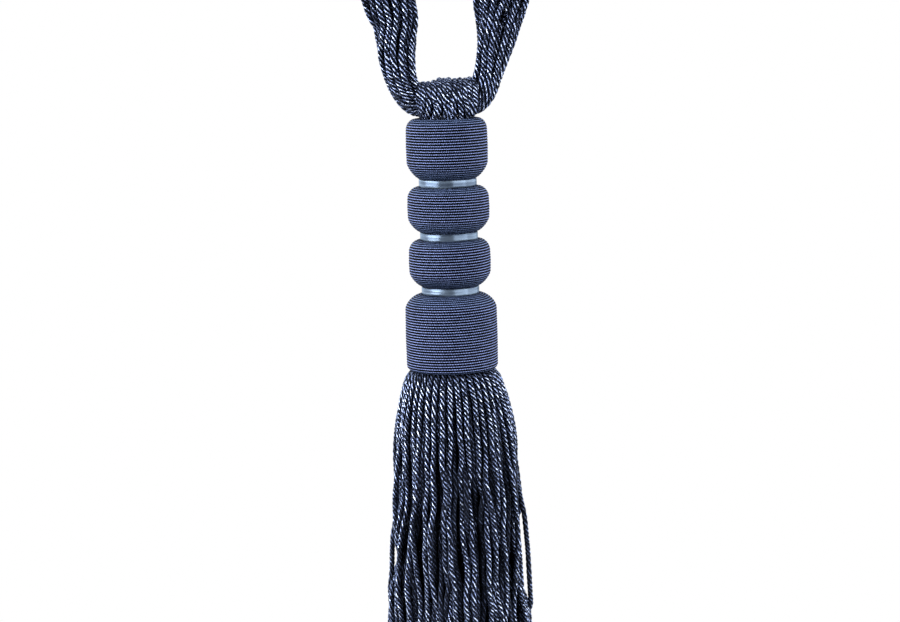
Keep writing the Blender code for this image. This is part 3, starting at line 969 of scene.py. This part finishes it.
# ---- The neck wrap ----
@dataclass
class NeckWrap:
    """The cords that go over the hank's foot and down into the hole in the top mould."""

    cord: TwistedCord
    finish: bpy.types.Material
    cords: int = 12
    # Painted light on the wrap's cords.
    shade: float = 1.22
    foot_radius: float = 12.6 * MM
    foot_arc: float = math.radians(76)
    foot_drop: float = 3.5 * MM
    half_width: float = 13.9 * MM
    offset: float = 0.6 * MM
    half_depth: float = 11.8 * MM
    edge_thinning: float = 0.10
    bend: float = 2.4 * MM
    side: float = 5.5 * MM
    shoulder: float = 9.0 * MM
    height: float = 18.0 * MM
    tilt: float = 0.9 * MM
    crown_fall: float = 0.8 * MM
    jitter: tuple[float, float, float] = (1.1 * MM, 0.22 * MM, 0.55 * MM)
    tail_cords: int = 18
    # Painted shade on the short ends that lie under the wrap.
    tail_shade: float = 0.4
    tail_radius: float = 8.2 * MM
    tail_levels: tuple[float, ...] = (-3.4 * MM, -1.8 * MM, -0.2 * MM, 1.6 * MM)

    def arch(self, t: float, jitter: Array) -> list:
        """One cord's centre line, from the front foot over the top to the back foot.

        Args:
            t: place across the wrap, from -1 at its left edge to 1 at its right edge.
            jitter: small shifts, sideways at the foot, sideways at the top and upwards.

        Returns:
            The line's points above the head's top.
        """
        inset = self.cord.diameter / 2
        turn = self.foot_arc * t
        foot_x = (self.foot_radius - inset) * math.sin(turn)
        foot_y = (self.foot_radius - inset) * math.cos(turn)
        wide = (self.half_width - inset) * t + self.offset
        deep = (self.half_depth - inset) * (1.0 - self.edge_thinning * t * t)
        top = self.height + self.tilt * t - self.crown_fall * t * t - inset + jitter[2]
        front = [
            (foot_x, foot_y, -self.foot_drop),
            (foot_x + jitter[0] / 2, foot_y, 0.0),
            (0.4 * foot_x + 0.6 * wide + jitter[0], 0.3 * foot_y + 0.7 * deep, self.bend),
            (wide + jitter[0], deep, self.side),
        ]
        for step in range(4):
            angle = math.pi / 8 * step
            rise = self.shoulder + (top - self.shoulder) * math.sin(angle)
            front.append((wide + jitter[1] * math.sin(angle), deep * math.cos(angle), rise))
        peak = (wide + jitter[1], 0.0, top)
        return [*((x, -y, z) for x, y, z in front), peak, *reversed(front)]

    def heart(self, points: Array) -> Array:
        """The middle of the hank under the wrap, beside each point; cords get painted shade on the sides that
        face it.
        """
        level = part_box("top_mould")[1].z + self.shoulder
        return points * np.array((1.0, 0.0, 0.0)) + np.array((0.0, 0.0, level))

    def build(self) -> list[bpy.types.Object]:
        """Make the wrap.

        Returns:
            Two pieces: its cords, and the short ends under them that stand in the mould's hole.
        """
        draw = np.random.default_rng(5)
        level = np.array((0.0, 0.0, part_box("top_mould")[1].z))
        lines, ends = [], []
        for number in range(self.cords):
            t = 2.0 * number / (self.cords - 1) - 1.0
            jitter = draw.uniform(-1.0, 1.0, 3) * self.jitter
            lines.append(np.array(self.arch(t, jitter)) + level)
        for number in range(self.tail_cords):
            turn = math.tau * number / self.tail_cords
            foot = np.array((self.tail_radius * math.cos(turn), self.tail_radius * math.sin(turn), 0.0))
            ends.append([level + foot + np.array((0.0, 0.0, z)) for z in self.tail_levels])
        skin = self.cord.skin(np.array(lines), WRAP_GAUGE, False, 31, self.heart, (self.shade,))
        tails = self.cord.skin(np.array(ends), MIDDLING, False, 32, self.heart, (self.tail_shade,))
        return [
            skin.piece("neck_wrap_cords", self.finish, "cord", "neck_wrap"),
            tails.piece("neck_wrap_tails", self.finish, "cord", "neck_wrap"),
        ]


# ---- The wound moulds ----
class Corner(NamedTuple):
    """The rounding of a mould at its shoulder or its heel: 2 is a full quarter-ellipse, 1 a flat bevel."""

    run: float
    rise: float
    fullness: float

    def place(self, share: float) -> tuple[float, float]:
        """How far in and how far along a point of the rounding lies.

        Args:
            share: the point's place on it, 0 at the mould's end and 1 at its belly.

        Returns:
            The two distances.
        """
        turn = math.pi / 2 * share
        power = 2.0 / self.fullness
        return self.run * (1 - math.sin(turn) ** power), self.rise * (1 - math.cos(turn) ** power)


class ThreadRow(NamedTuple):
    """A row of points along one turn of thread: its share of the pitch, and how deep it is sunk, up to 1."""

    share: float
    groove: float


@dataclass
class WoundMould:
    """One turned mould with thread wound over it side by side, modelled as one helical surface."""

    node: str
    finish: bpy.types.Material
    belly: float
    shoulder: Corner
    heel: Corner
    twist: Twist
    lean: tuple[float, float] = (0.0, 0.0)
    start: tuple[tuple[float, float], ...] = ()
    end: tuple[tuple[float, float], ...] = ()
    pitch: float = 1.2 * MM
    depth: float = 0.36 * MM
    crown: float = 0.15 * MM
    bend_step: float = 0.3 * MM
    corner_steps: int = 10
    columns: int = 84
    rows: tuple[ThreadRow, ...] = (
        ThreadRow(0.0, 1.0),
        ThreadRow(0.15, 0.36),
        ThreadRow(0.36, 0.04),
        ThreadRow(0.64, 0.04),
        ThreadRow(0.85, 0.36),
    )

    def profile(self, top: float, foot: float) -> Array:
        """The mould's outer side as (radius, z) points from its start down to its end.

        Args:
            top: level of the body's top.
            foot: level of the body's foot.

        Returns:
            The points.
        """
        steps = np.linspace(0.0, 1.0, self.corner_steps)
        upper = [self.shoulder.place(share) for share in steps]
        lower = [self.heel.place(share) for share in reversed(steps)]
        side = [(self.belly - run, top - rise) for run, rise in upper]
        side.append((self.belly + self.crown, (top - self.shoulder.rise + foot + self.heel.rise) / 2))
        side += [(self.belly - run, foot + rise) for run, rise in lower]
        start = [(radius, top + z) for radius, z in self.start]
        end = [(radius, foot + z) for radius, z in self.end]
        return np.array(start + side + end)

    def skin(self, top: float, foot: float) -> Skin:
        """Wind the thread over the profile.

        Args:
            top: level of the body's top.
            foot: level of the body's foot.

        Returns:
            The wound surface, closed on the axis at both ends.
        """
        profile = self.profile(top, foot)
        reach = np.concatenate(([0.0], np.cumsum(np.linalg.norm(np.diff(profile, axis=0), axis=1))))
        length = reach[-1]
        turns = round(length / self.pitch) - 1

        def at(place: Array, axis: int) -> Array:
            """The profile's radius (axis 0) or level (axis 1) at places along it."""
            return np.interp(place, reach, profile[:, axis])

        steps = np.array([turn + row.share for turn in range(turns) for row in self.rows] + [float(turns)])
        sunk = np.array([row.groove for _ in range(turns) for row in self.rows] + [1.0])[:, None]
        column = np.arange(self.columns)[None, :]
        winds = steps[:, None] + column / self.columns
        angle = -self.twist.value * math.tau * column / self.columns
        place = winds / (turns + 1) * length
        lean = np.interp(place, (0.0, length), np.tan(np.radians(self.lean)))
        place = np.clip(place - lean * at(place, 0) * np.cos(angle), 0.0, length)
        ahead, behind = (np.clip(place + step, 0.0, length) for step in (self.bend_step, -self.bend_step))
        outward, upward = at(behind, 1) - at(ahead, 1), at(ahead, 0) - at(behind, 0)
        size = np.hypot(outward, upward)
        radius = at(place, 0) - self.depth * sunk * outward / size
        level = at(place, 1) - self.depth * sunk * upward / size
        grid = np.stack((radius * np.cos(angle), radius * np.sin(angle), level), axis=-1)
        centres = np.array(((0.0, 0.0, grid[0, :, 2].mean()), (0.0, 0.0, grid[-1, :, 2].mean())))
        faces, winding, bake = self.net(winds, turns + 1)
        points = np.concatenate((grid.reshape(-1, 3), centres))
        slope = np.concatenate(((upward / size).ravel(), (1.0, -1.0)))
        return Skin(points, faces, bake, numbers={"slope": slope}, maps={WINDING_MAP: winding})

    def net(self, winds: Array, total: int) -> tuple[list, list, list]:
        """The faces of the helical surface, with their corners' places on the winding map and the bake map.

        Args:
            winds: how many turns of thread lie above each point, as rows x columns.
            total: turns of thread in all.

        Returns:
            The faces and the two maps.
        """
        (count, columns), rows = winds.shape, len(self.rows)
        top, span = 0.98, 0.96
        faces, winding, bake = [], [], []

        def corner(row: int, column: int) -> tuple:
            """A grid point's number and its places on both maps.

            Args:
                row: its row.
                column: its column, where one past the last is the first of the next turn.

            Returns:
                The number and the two places.
            """
            step, across = divmod(column, columns)
            below, share = row + step * rows, column / columns
            level = top - span * float(winds[below, across]) / total
            return below * columns + across, (share, float(winds[row, 0])), (share, level)

        def add(*corners: tuple) -> None:
            """Add one face.

            Args:
                corners: its three or four corners.
            """
            numbers, *places = zip(*(corners if self.twist is Twist.Z else corners[::-1]))
            faces.append(list(numbers))
            winding.extend(places[0])
            bake.extend(places[1])

        for row in range(count - 1):
            for column in range(columns if row + rows < count - 1 else columns - 1):
                add(*(corner(row + down, column + on) for down, on in ((0, 0), (0, 1), (1, 1), (1, 0))))
        last = count - 1
        upper = [corner(0, column) for column in range(columns)]
        upper += [corner(row, 0) for row in range(rows, 0, -1)]
        lower = [corner(last, column) for column in range(columns)]
        lower += [corner(last - row, columns - 1) for row in range(1, rows + 1)]
        for rim, apex, edge, turned in ((upper, 0, 1.0, True), (lower, 1, 0.0, False)):
            centre = count * columns + apex
            for first, second in zip(rim, rim[1:] + rim[:1]):
                middle = (0.5 * (first[2][0] + second[2][0]), edge)
                hub = (centre, (0.5, round(first[1][1])), middle)
                add(*((hub, second, first) if turned else (hub, first, second)))
        return faces, winding, bake

    def build(self, body_foot: float) -> bpy.types.Object:
        """Make the mould from its node's box.

        Args:
            body_foot: how far the body's foot lies above the node's lowest point.

        Returns:
            The piece.
        """
        low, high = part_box(self.node)
        skin = self.skin(high.z, low.z + body_foot)
        return skin.piece(self.node + "_thread", self.finish, "thread", self.node)


# ---- The ribbons ----
@dataclass
class SatinBand:
    """A narrow satin ribbon wound once round a neck, with its end lapped over its start."""

    node: str
    finish: bpy.types.Material
    lap_at: float
    seed: int
    turns: float = 1.16
    lap_from: float = 0.94
    lap_run: float = 0.08
    thickness: float = 0.4 * MM
    seat: float = 1.4
    overhang: float = 0.12 * MM
    ripple: float = 0.05 * MM
    drift: float = 0.07 * MM
    columns: int = 150
    edge: tuple[tuple[float, float], ...] = ((-0.4, 1.0), (0.1, 1.0), (0.42, 0.93), (0.5, 0.5))

    def build(self) -> bpy.types.Object:
        """Make the ribbon inside its node's box.

        Returns:
            The piece.
        """
        low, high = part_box(self.node)
        draw = np.random.default_rng(self.seed)
        radius, level, half = high.x, (low.z + high.z) / 2, (high.z - low.z) / 2
        travel = np.linspace(0.0, self.turns, self.columns)
        angle = self.lap_at + math.tau * travel
        lap = np.clip((travel - self.lap_from) / self.lap_run, 0.0, 1.0)
        centre = radius - self.seat * self.thickness + self.thickness * lap
        waves = draw.uniform(0.0, math.tau, 4)
        centre += self.ripple * (np.sin(5 * angle + waves[0]) + np.sin(11 * angle + waves[1]))
        shift = self.drift * (np.sin(3 * angle + waves[2]) + np.sin(7 * angle + waves[3]))
        outline = np.array([*self.edge, (0.52, 0.0), *((across, -up) for across, up in reversed(self.edge))])
        reach = centre[:, None] + self.thickness * outline[None, :, 0]
        height = level + shift[:, None] + (half + self.overhang) * outline[None, :, 1]
        grid = np.stack((reach * np.cos(angle)[:, None], reach * np.sin(angle)[:, None], height), axis=-1)
        skin = Skin(grid.reshape(-1, 3), *self.net(len(outline)))
        return skin.piece(self.node + "_satin", self.finish, "ribbon", self.node)

    def net(self, count: int) -> tuple[list, list]:
        """The ribbon's faces and their corners' places on the bake map.

        Args:
            count: outline points of the ribbon's section.

        Returns:
            The faces and the map.
        """
        faces, places = [], []
        for column, row in np.ndindex(self.columns - 1, count):
            after = (row + 1) % count
            base, ahead = column * count, (column + 1) * count
            faces.append([base + row, ahead + row, ahead + after, base + after])
            left, right = (column + 1) / (self.columns + 1), (column + 2) / (self.columns + 1)
            below, above = row / count, (row + 1) / count
            places += [(left, below), (right, below), (right, above), (left, above)]
        for start, edge, order in ((0, 0.0, 1), ((self.columns - 1) * count, 1.0, -1)):
            rows = list(range(count))[::order]
            faces.append([start + row for row in rows])
            insets = [0.003 * (1 + math.cos(math.tau * row / count)) for row in rows]
            places += [(abs(edge - inset), row / count) for inset, row in zip(insets, rows)]
        return faces, places


# ---- The skirt ----
class SkirtRow(NamedTuple):
    """The skirt's outer radius at a depth under the bell's edge, in millimetres."""

    drop: float
    radius: float


class SkirtLayer(NamedTuple):
    """One layer of the skirt, with its depth in millimetres, its painted shade, darker for deeper layers, and
    how far it gathers in locks.
    """

    name: str
    cords: int
    depth: float
    gauge: Gauge
    shade: float
    gather: float
    phase: float


class Stray(NamedTuple):
    """A cord that stands off: its angle, where and how far the others draw back, and its own inset."""

    angle: float
    top: float
    bottom: float
    clearance: float
    inset: float


@dataclass
class CordSkirt:
    """The skirt of twisted cords that hangs from the bell in five layers, the inner ones darkened with painted
    shade until they hardly show.
    """

    cord: TwistedCord
    finish: bpy.types.Material
    layers: tuple[SkirtLayer, ...] = (
        SkirtLayer("skirt_cords_outside", 42, 0.0, FINE, 1.0, 0.32, 0.0),
        SkirtLayer("skirt_cords_middle", 42, 3.2, MIDDLING, 0.22, 0.1, 0.5),
        SkirtLayer("skirt_cords_inside", 41, 7.0, COARSE, 0.2, 0.1, 0.25),
        SkirtLayer("skirt_cords_core", 30, 14.5, COARSE, 0.15, 0.0, 0.5),
        SkirtLayer("skirt_cords_heart", 10, 24.0, COARSE, 0.15, 0.0, 0.0),
    )
    inner_diameter: float = 3.6 * MM
    root: float = 4.8 * MM
    length: float = 160.0 * MM
    uneven: float = 3.0 * MM
    swing: float = 0.5 * MM
    # Painted light and shade down the cords: lightest just under the bell, darkest about a third of the way
    # down.
    shades: tuple[float, ...] = (2.5, 1.58, 1.03, 1.14, 1.4, 1.5, 1.4)
    stations: int = 48
    open_from: float = 4.0 * MM
    open_run: float = 52.0 * MM
    wander: tuple[float, float, float] = (0.05, 0.04, 0.034)
    draw_in: float = 0.08
    ease: float = 8.0 * MM
    swing_run: float = 30.0 * MM
    closeness: float = 0.95
    rows: tuple[SkirtRow, ...] = (
        SkirtRow(-5.0, 17.4),
        SkirtRow(0.6, 17.4),
        SkirtRow(1.9, 20.0),
        SkirtRow(4.4, 22.0),
        SkirtRow(8.0, 23.2),
        SkirtRow(14.0, 25.2),
        SkirtRow(24.0, 27.5),
        SkirtRow(40.0, 30.1),
        SkirtRow(60.0, 31.5),
        SkirtRow(84.0, 33.3),
        SkirtRow(110.0, 34.2),
        SkirtRow(165.0, 35.8),
    )
    strays: tuple[Stray, ...] = (
        Stray(0.0, 69.0 * MM, 111.0 * MM, 1.5 * MM, 0.3 * MM),
        Stray(math.pi, 76.0 * MM, 94.0 * MM, 0.9 * MM, 1.7 * MM),
    )

    @staticmethod
    def heart(points: Array) -> Array:
        """The point of the tassel's axis beside each point; cords get painted shade on the sides that face it.
        """
        return points * np.array((0.0, 0.0, 1.0))

    def drops(self) -> Array:
        """The stations' depths under the bell's edge, close together where the cords bend out below it."""
        share = np.linspace(0.0, 1.0, self.stations)
        return -self.root + (self.length + self.root) * share**1.7

    def outer_radius(self, drops: Array) -> Array:
        """The skirt's outer radius at some depths."""
        return np.interp(drops / MM, [row.drop for row in self.rows], [row.radius for row in self.rows]) * MM

    def targets(self, drops: Array) -> Array:
        """Where each cord would hang by itself, gathered into locks that open lower down.

        Args:
            drops: the stations' depths.

        Returns:
            The places as cords x stations x 2, layer after layer.
        """
        draw = np.random.default_rng(7)
        places = []
        opening = np.clip((drops - self.open_from) / self.open_run, 0.0, 1.0) ** 0.8
        fall = np.maximum(drops, 0.0) / self.length
        for layer in self.layers:
            angles = math.tau * (np.arange(layer.cords) + layer.phase) / layer.cords
            locks = self.lock_centres(layer.cords, draw)
            sunk = layer.depth * MM * (0.35 + 0.65 * opening)
            spare = self.outer_radius(drops) - self.cord.diameter / 2 - sunk
            for number, angle in enumerate(angles):
                gathered = angle + layer.gather * opening * (locks[number] - angle)
                sway = draw.uniform(-1.0, 1.0, 3)
                wander = self.wander[0] * sway[0] * np.sin(math.tau * (fall * 1.3 + sway[1]))
                wander += self.wander[1] * sway[2] * np.sin(math.tau * (fall * 3.1 + sway[0]))
                wander += self.wander[2] * np.sin(math.tau * (fall * (6.5 + sway[0]) + sway[2]))
                turn = gathered + wander * opening
                drawn_in = self.draw_in * opening * (1.0 + np.sin(math.tau * (1.7 * fall + sway[2])))
                radius = spare * (1.0 - drawn_in)
                places.append(np.stack((radius * np.cos(turn), radius * np.sin(turn)), axis=1))
        return np.array(places)

    @staticmethod
    def lock_centres(count: int, draw: Draw) -> list:
        """The angle of the lock that each cord of one layer is gathered towards.

        Args:
            count: cords in the layer.
            draw: the source of the locks' sizes.

        Returns:
            The locks' angles, cord by cord.
        """
        centres = []
        while len(centres) < count:
            size = min(int(draw.integers(2, 5)), count - len(centres))
            middle = len(centres) + (size - 1) / 2
            centres += [math.tau * middle / count] * size
        return centres

    def confine(self, drops: Array, stray_cords: dict[int, Stray]) -> Callable[[Array], Array]:
        """Make the rule that keeps the cords inside the skirt's outline and clear of the stray ones.

        Args:
            drops: the stations' depths.
            stray_cords: the stray cords by their numbers.

        Returns:
            A function that brings centres back into their room.
        """
        limit = self.outer_radius(drops) - self.cord.diameter / 2

        def bring_back(places: Array) -> Array:
            """Bring centres back into their room.

            Args:
                places: the centres.

            Returns:
                The moved centres.
            """
            radius = np.linalg.norm(places, axis=-1, keepdims=True)
            places = places * np.minimum(limit[None, :, None] / np.maximum(radius, TINY), 1.0)
            for number, stray in stray_cords.items():
                side = np.array((math.cos(stray.angle), math.sin(stray.angle)))
                across = np.array((-side[1], side[0]))
                inside = np.minimum(drops - stray.top, stray.bottom - drops)
                ease = np.clip(inside / self.ease + 0.5, 0.0, 1.0)
                wall = limit - ease * (self.cord.diameter + stray.clearance + stray.inset)
                own = places[number].copy()
                past = np.maximum(places @ side - wall, 0.0) * (ease > 0.0)
                places = places - past[..., None] * side
                own += (ease * (limit - stray.inset - own @ side))[:, None] * side
                own -= (ease * (own @ across))[:, None] * across
                places[number] = own
            return places

        return bring_back

    def build(self) -> list[bpy.types.Object]:
        """Make the skirt's cords.

        Returns:
            A piece for each layer, and two for the outside one.
        """
        drops = self.drops()
        outside = self.layers[0].cords
        stray_cords = {round(stray.angle / math.tau * outside) % outside: stray for stray in self.strays}
        packing = Packing(self.closeness * self.cord.diameter, rounds=150, pull=0.08, stiffness=0.1)
        places = packing.settled(self.targets(drops), self.confine(drops, stray_cords), False)
        draw = np.random.default_rng(9)
        stretch = 1.0 + draw.uniform(-1.0, 1.0, len(places)) * self.uneven / self.length
        depth = np.where(drops > 0.0, drops * stretch[:, None], drops)
        places[..., 0] += self.swing * np.clip(drops / self.swing_run, 0.0, 1.0)
        lines = np.concatenate((places, (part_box("bell_mould")[0].z - depth)[..., None]), axis=-1)
        pieces, first = [], 0
        for seed, layer in enumerate(self.layers):
            batch = lines[first : first + layer.cords]
            first += layer.cords
            # Painted shade: the layer's own darkness times the painted light and shade down the cords.
            shade = [layer.shade * part_shade for part_shade in self.shades]
            cord = replace(self.cord, diameter=self.inner_diameter) if layer.gauge is COARSE else self.cord
            groups = (("", batch),)
            if layer.gauge is FINE:
                groups = (("_back", batch[: layer.cords // 2]), ("_front", batch[layer.cords // 2 :]))
            for part, (end, group) in enumerate(groups):
                skin = cord.skin(group, layer.gauge, False, 41 + 2 * seed + part, self.heart, shade)
                pieces.append(skin.piece(layer.name + end, self.finish, "cord", "skirt"))
        return pieces


# ---- The studio ----
class Lamp(NamedTuple):
    """A soft rectangular lamp: its direction from the tassel in degrees, distance, sides and strength."""

    name: str
    azimuth: float
    elevation: float
    distance: float
    width: float
    height: float
    power: float


@dataclass
class Studio:
    """The pale surroundings, the soft lamps and the camera."""

    effects: Effects
    lamps: tuple[Lamp, ...] = (
        Lamp("left_lamp", -64.0, 12.0, 1.3, 1.25, 1.1, 42.0),
        Lamp("right_lamp", 48.0, 9.0, 1.5, 1.45, 2.4, 32.0),
        Lamp("right_rim_lamp", 98.0, 10.0, 1.3, 2.0, 3.0, 36.0),
        Lamp("left_rim_lamp", -128.0, 10.0, 1.3, 1.8, 1.2, 10.0),
        Lamp("top_lamp", 0.0, 78.0, 1.2, 1.2, 0.8, 6.0),
    )
    floor_gap: float = 60.0 * MM
    floor_radius: float = 300.0 * MM
    floor_depth: float = 4.0 * MM
    lens: float = 89.2
    distance: float = 1003.5 * MM
    pitch: float = math.radians(8.2)
    roll: float = math.radians(-1.5)
    aim_below_head: float = 86.7 * MM
    aim_side: float = -0.5 * MM

    def surroundings(self) -> None:
        """A white room: seen as plain white, bright behind the tassel and dim on the camera's side."""
        world = bpy.data.worlds.new("white room")
        world.use_nodes = True
        bpy.context.scene.world = world
        graph = Graph(world.node_tree)
        background = world.node_tree.nodes["Background"].inputs
        direction = graph.add("SeparateXYZ", {"Vector": graph.add("TexCoord").outputs["Generated"]}).outputs
        behind = graph.spread(direction["Y"], -0.5, 0.5, 0.05, 0.95)
        above = graph.spread(direction["Z"], -0.7, 0.2, 0.25, 1.0)
        seen = graph.add("LightPath").outputs["Is Camera Ray"]
        graph.feed(background["Strength"], graph.maths("MAXIMUM", graph.times(behind, above), seen))
        graph.feed(background["Color"], (1.0, 1.0, 1.0, 1.0))

    def floor(self) -> None:
        """A plain pale round floor a little below the skirt."""
        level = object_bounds()[0].z - self.floor_gap
        bpy.ops.mesh.primitive_cylinder_add(
            vertices=96, radius=self.floor_radius, depth=self.floor_depth, location=(0.0, 0.0, level)
        )
        floor = bpy.context.object
        floor.name = "floor"
        floor.data.materials.append(PlainFinish("pale floor", roughness=0.8).material(self.effects))
        floor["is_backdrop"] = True

    def light(self, target: Vector) -> None:
        """Hang the soft lamps round the tassel.

        Args:
            target: the point that they face.
        """
        for lamp in self.lamps:
            data = bpy.data.lights.new(lamp.name, "AREA")
            data.shape, data.size, data.size_y, data.energy = "RECTANGLE", lamp.width, lamp.height, lamp.power
            turn, rise = math.radians(lamp.azimuth), math.radians(lamp.elevation)
            level = math.cos(rise)
            toward = Vector((math.sin(turn) * level, -math.cos(turn) * level, math.sin(rise)))
            item = bpy.data.objects.new(lamp.name, data)
            item.location = target + toward * lamp.distance
            item.rotation_euler = toward.to_track_quat("Z", "Y").to_euler()
            item.visible_camera = False
            bpy.context.scene.collection.objects.link(item)

    def camera(self, target: Vector) -> None:
        """Stand the camera in front, a little above the head, and turned by a degree or two.

        Args:
            target: the point that it faces.
        """
        data = bpy.data.cameras.new("camera")
        data.lens, data.sensor_width = self.lens, 36.0
        camera = bpy.data.objects.new("camera", data)
        back = Vector((0.0, -math.cos(self.pitch), math.sin(self.pitch)))
        turn = back.to_track_quat("Z", "Y").to_matrix() @ Matrix.Rotation(self.roll, 3, "Z")
        camera.matrix_world = Matrix.Translation(target + back * self.distance) @ turn.to_4x4()
        bpy.context.scene.collection.objects.link(camera)
        bpy.context.scene.camera = camera

    def build(self) -> None:
        """Set up everything that isn't the tassel."""
        target = Vector((self.aim_side, 0.0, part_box("top_mould")[1].z - self.aim_below_head))
        self.surroundings()
        self.floor()
        self.light(target)
        self.camera(target)
        bpy.context.scene.view_settings.view_transform = "Standard"


# ---- Building it ----
def build_moulds(finish: bpy.types.Material) -> None:
    """Make the four wound moulds, from the head's top down.

    Args:
        finish: the thread's material.
    """
    neck_length = 3.3 * MM
    neck = ((12.0 * MM, 0.0), (12.0 * MM, -neck_length))
    hole = ((11.0 * MM, 0.0),)
    WoundMould(
        "top_mould",
        finish,
        belly=18.2 * MM,
        shoulder=Corner(4.2 * MM, 5.2 * MM, 2.0),
        heel=Corner(5.6 * MM, 7.2 * MM, 1.4),
        twist=Twist.Z,
        lean=(1.3, 0.4),
        start=((12.9 * MM, -3.8 * MM), (12.9 * MM, 0.0)),
        end=neck,
    ).build(neck_length)
    for node, twist, lean in (("upper_mould", Twist.Z, (0.3, 0.2)), ("lower_mould", Twist.S, (0.3, 0.3))):
        WoundMould(
            node,
            finish,
            belly=18.3 * MM,
            shoulder=Corner(4.4 * MM, 5.0 * MM, 1.85),
            heel=Corner(5.6 * MM, 6.4 * MM, 1.45),
            twist=twist,
            lean=lean,
            start=hole,
            end=neck,
        ).build(neck_length)
    WoundMould(
        "bell_mould",
        finish,
        belly=20.6 * MM,
        shoulder=Corner(7.0 * MM, 6.6 * MM, 1.65),
        heel=Corner(1.6 * MM, 2.0 * MM, 2.0),
        twist=Twist.S,
        lean=(0.9, 0.1),
        start=hole,
        end=((17.8 * MM, 0.0), (17.8 * MM, 5.4 * MM)),
    ).build(0.0)


def main() -> None:
    """Build every piece, then the studio, and note the sizes."""
    logging.basicConfig(level=logging.INFO, format="%(name)s: %(message)s")
    effects = Effects(fibre_group(), drift_group())
    cord = TwistedCord()
    cord_finish = CordFinish(
        "navy twisted cord", lustre=0.8, gloss=0.1, gloss_tint=(0.4, 0.5, 0.7)
    ).material(effects)
    thread_finish = ThreadFinish("blue wound thread", roughness=0.6, gloss=0.03).material(effects)
    ribbon_finish = RibbonFinish(
        "steel blue satin", roughness=0.27, gloss=0.85, gloss_tint=(0.35, 0.48, 0.62), lustre=0.55
    ).material(effects)
    HangingLoop(replace(cord, lay=9.3 * MM, painted_shade_start=0.42, painted_shadow=0.37), cord_finish).build()
    NeckWrap(replace(cord, diameter=2.8 * MM, lay=8.9 * MM, painted_shade_start=0.6, painted_shadow=0.33), cord_finish).build()
    build_moulds(thread_finish)
    for number, node in enumerate(("top_ribbon", "middle_ribbon", "bottom_ribbon")):
        SatinBand(node, ribbon_finish, lap_at=0.9 + 0.15 * number, seed=61 + number).build()
    hanging_cord = replace(
        cord, diameter=2.6 * MM, lay=10.0 * MM, strand_depth=0.54 * MM, strand_width=0.6 * MM, painted_shade_start=0.64
    )
    CordSkirt(hanging_cord, cord_finish).build()
    Studio(effects).build()


if __name__ == "__main__":
    main()
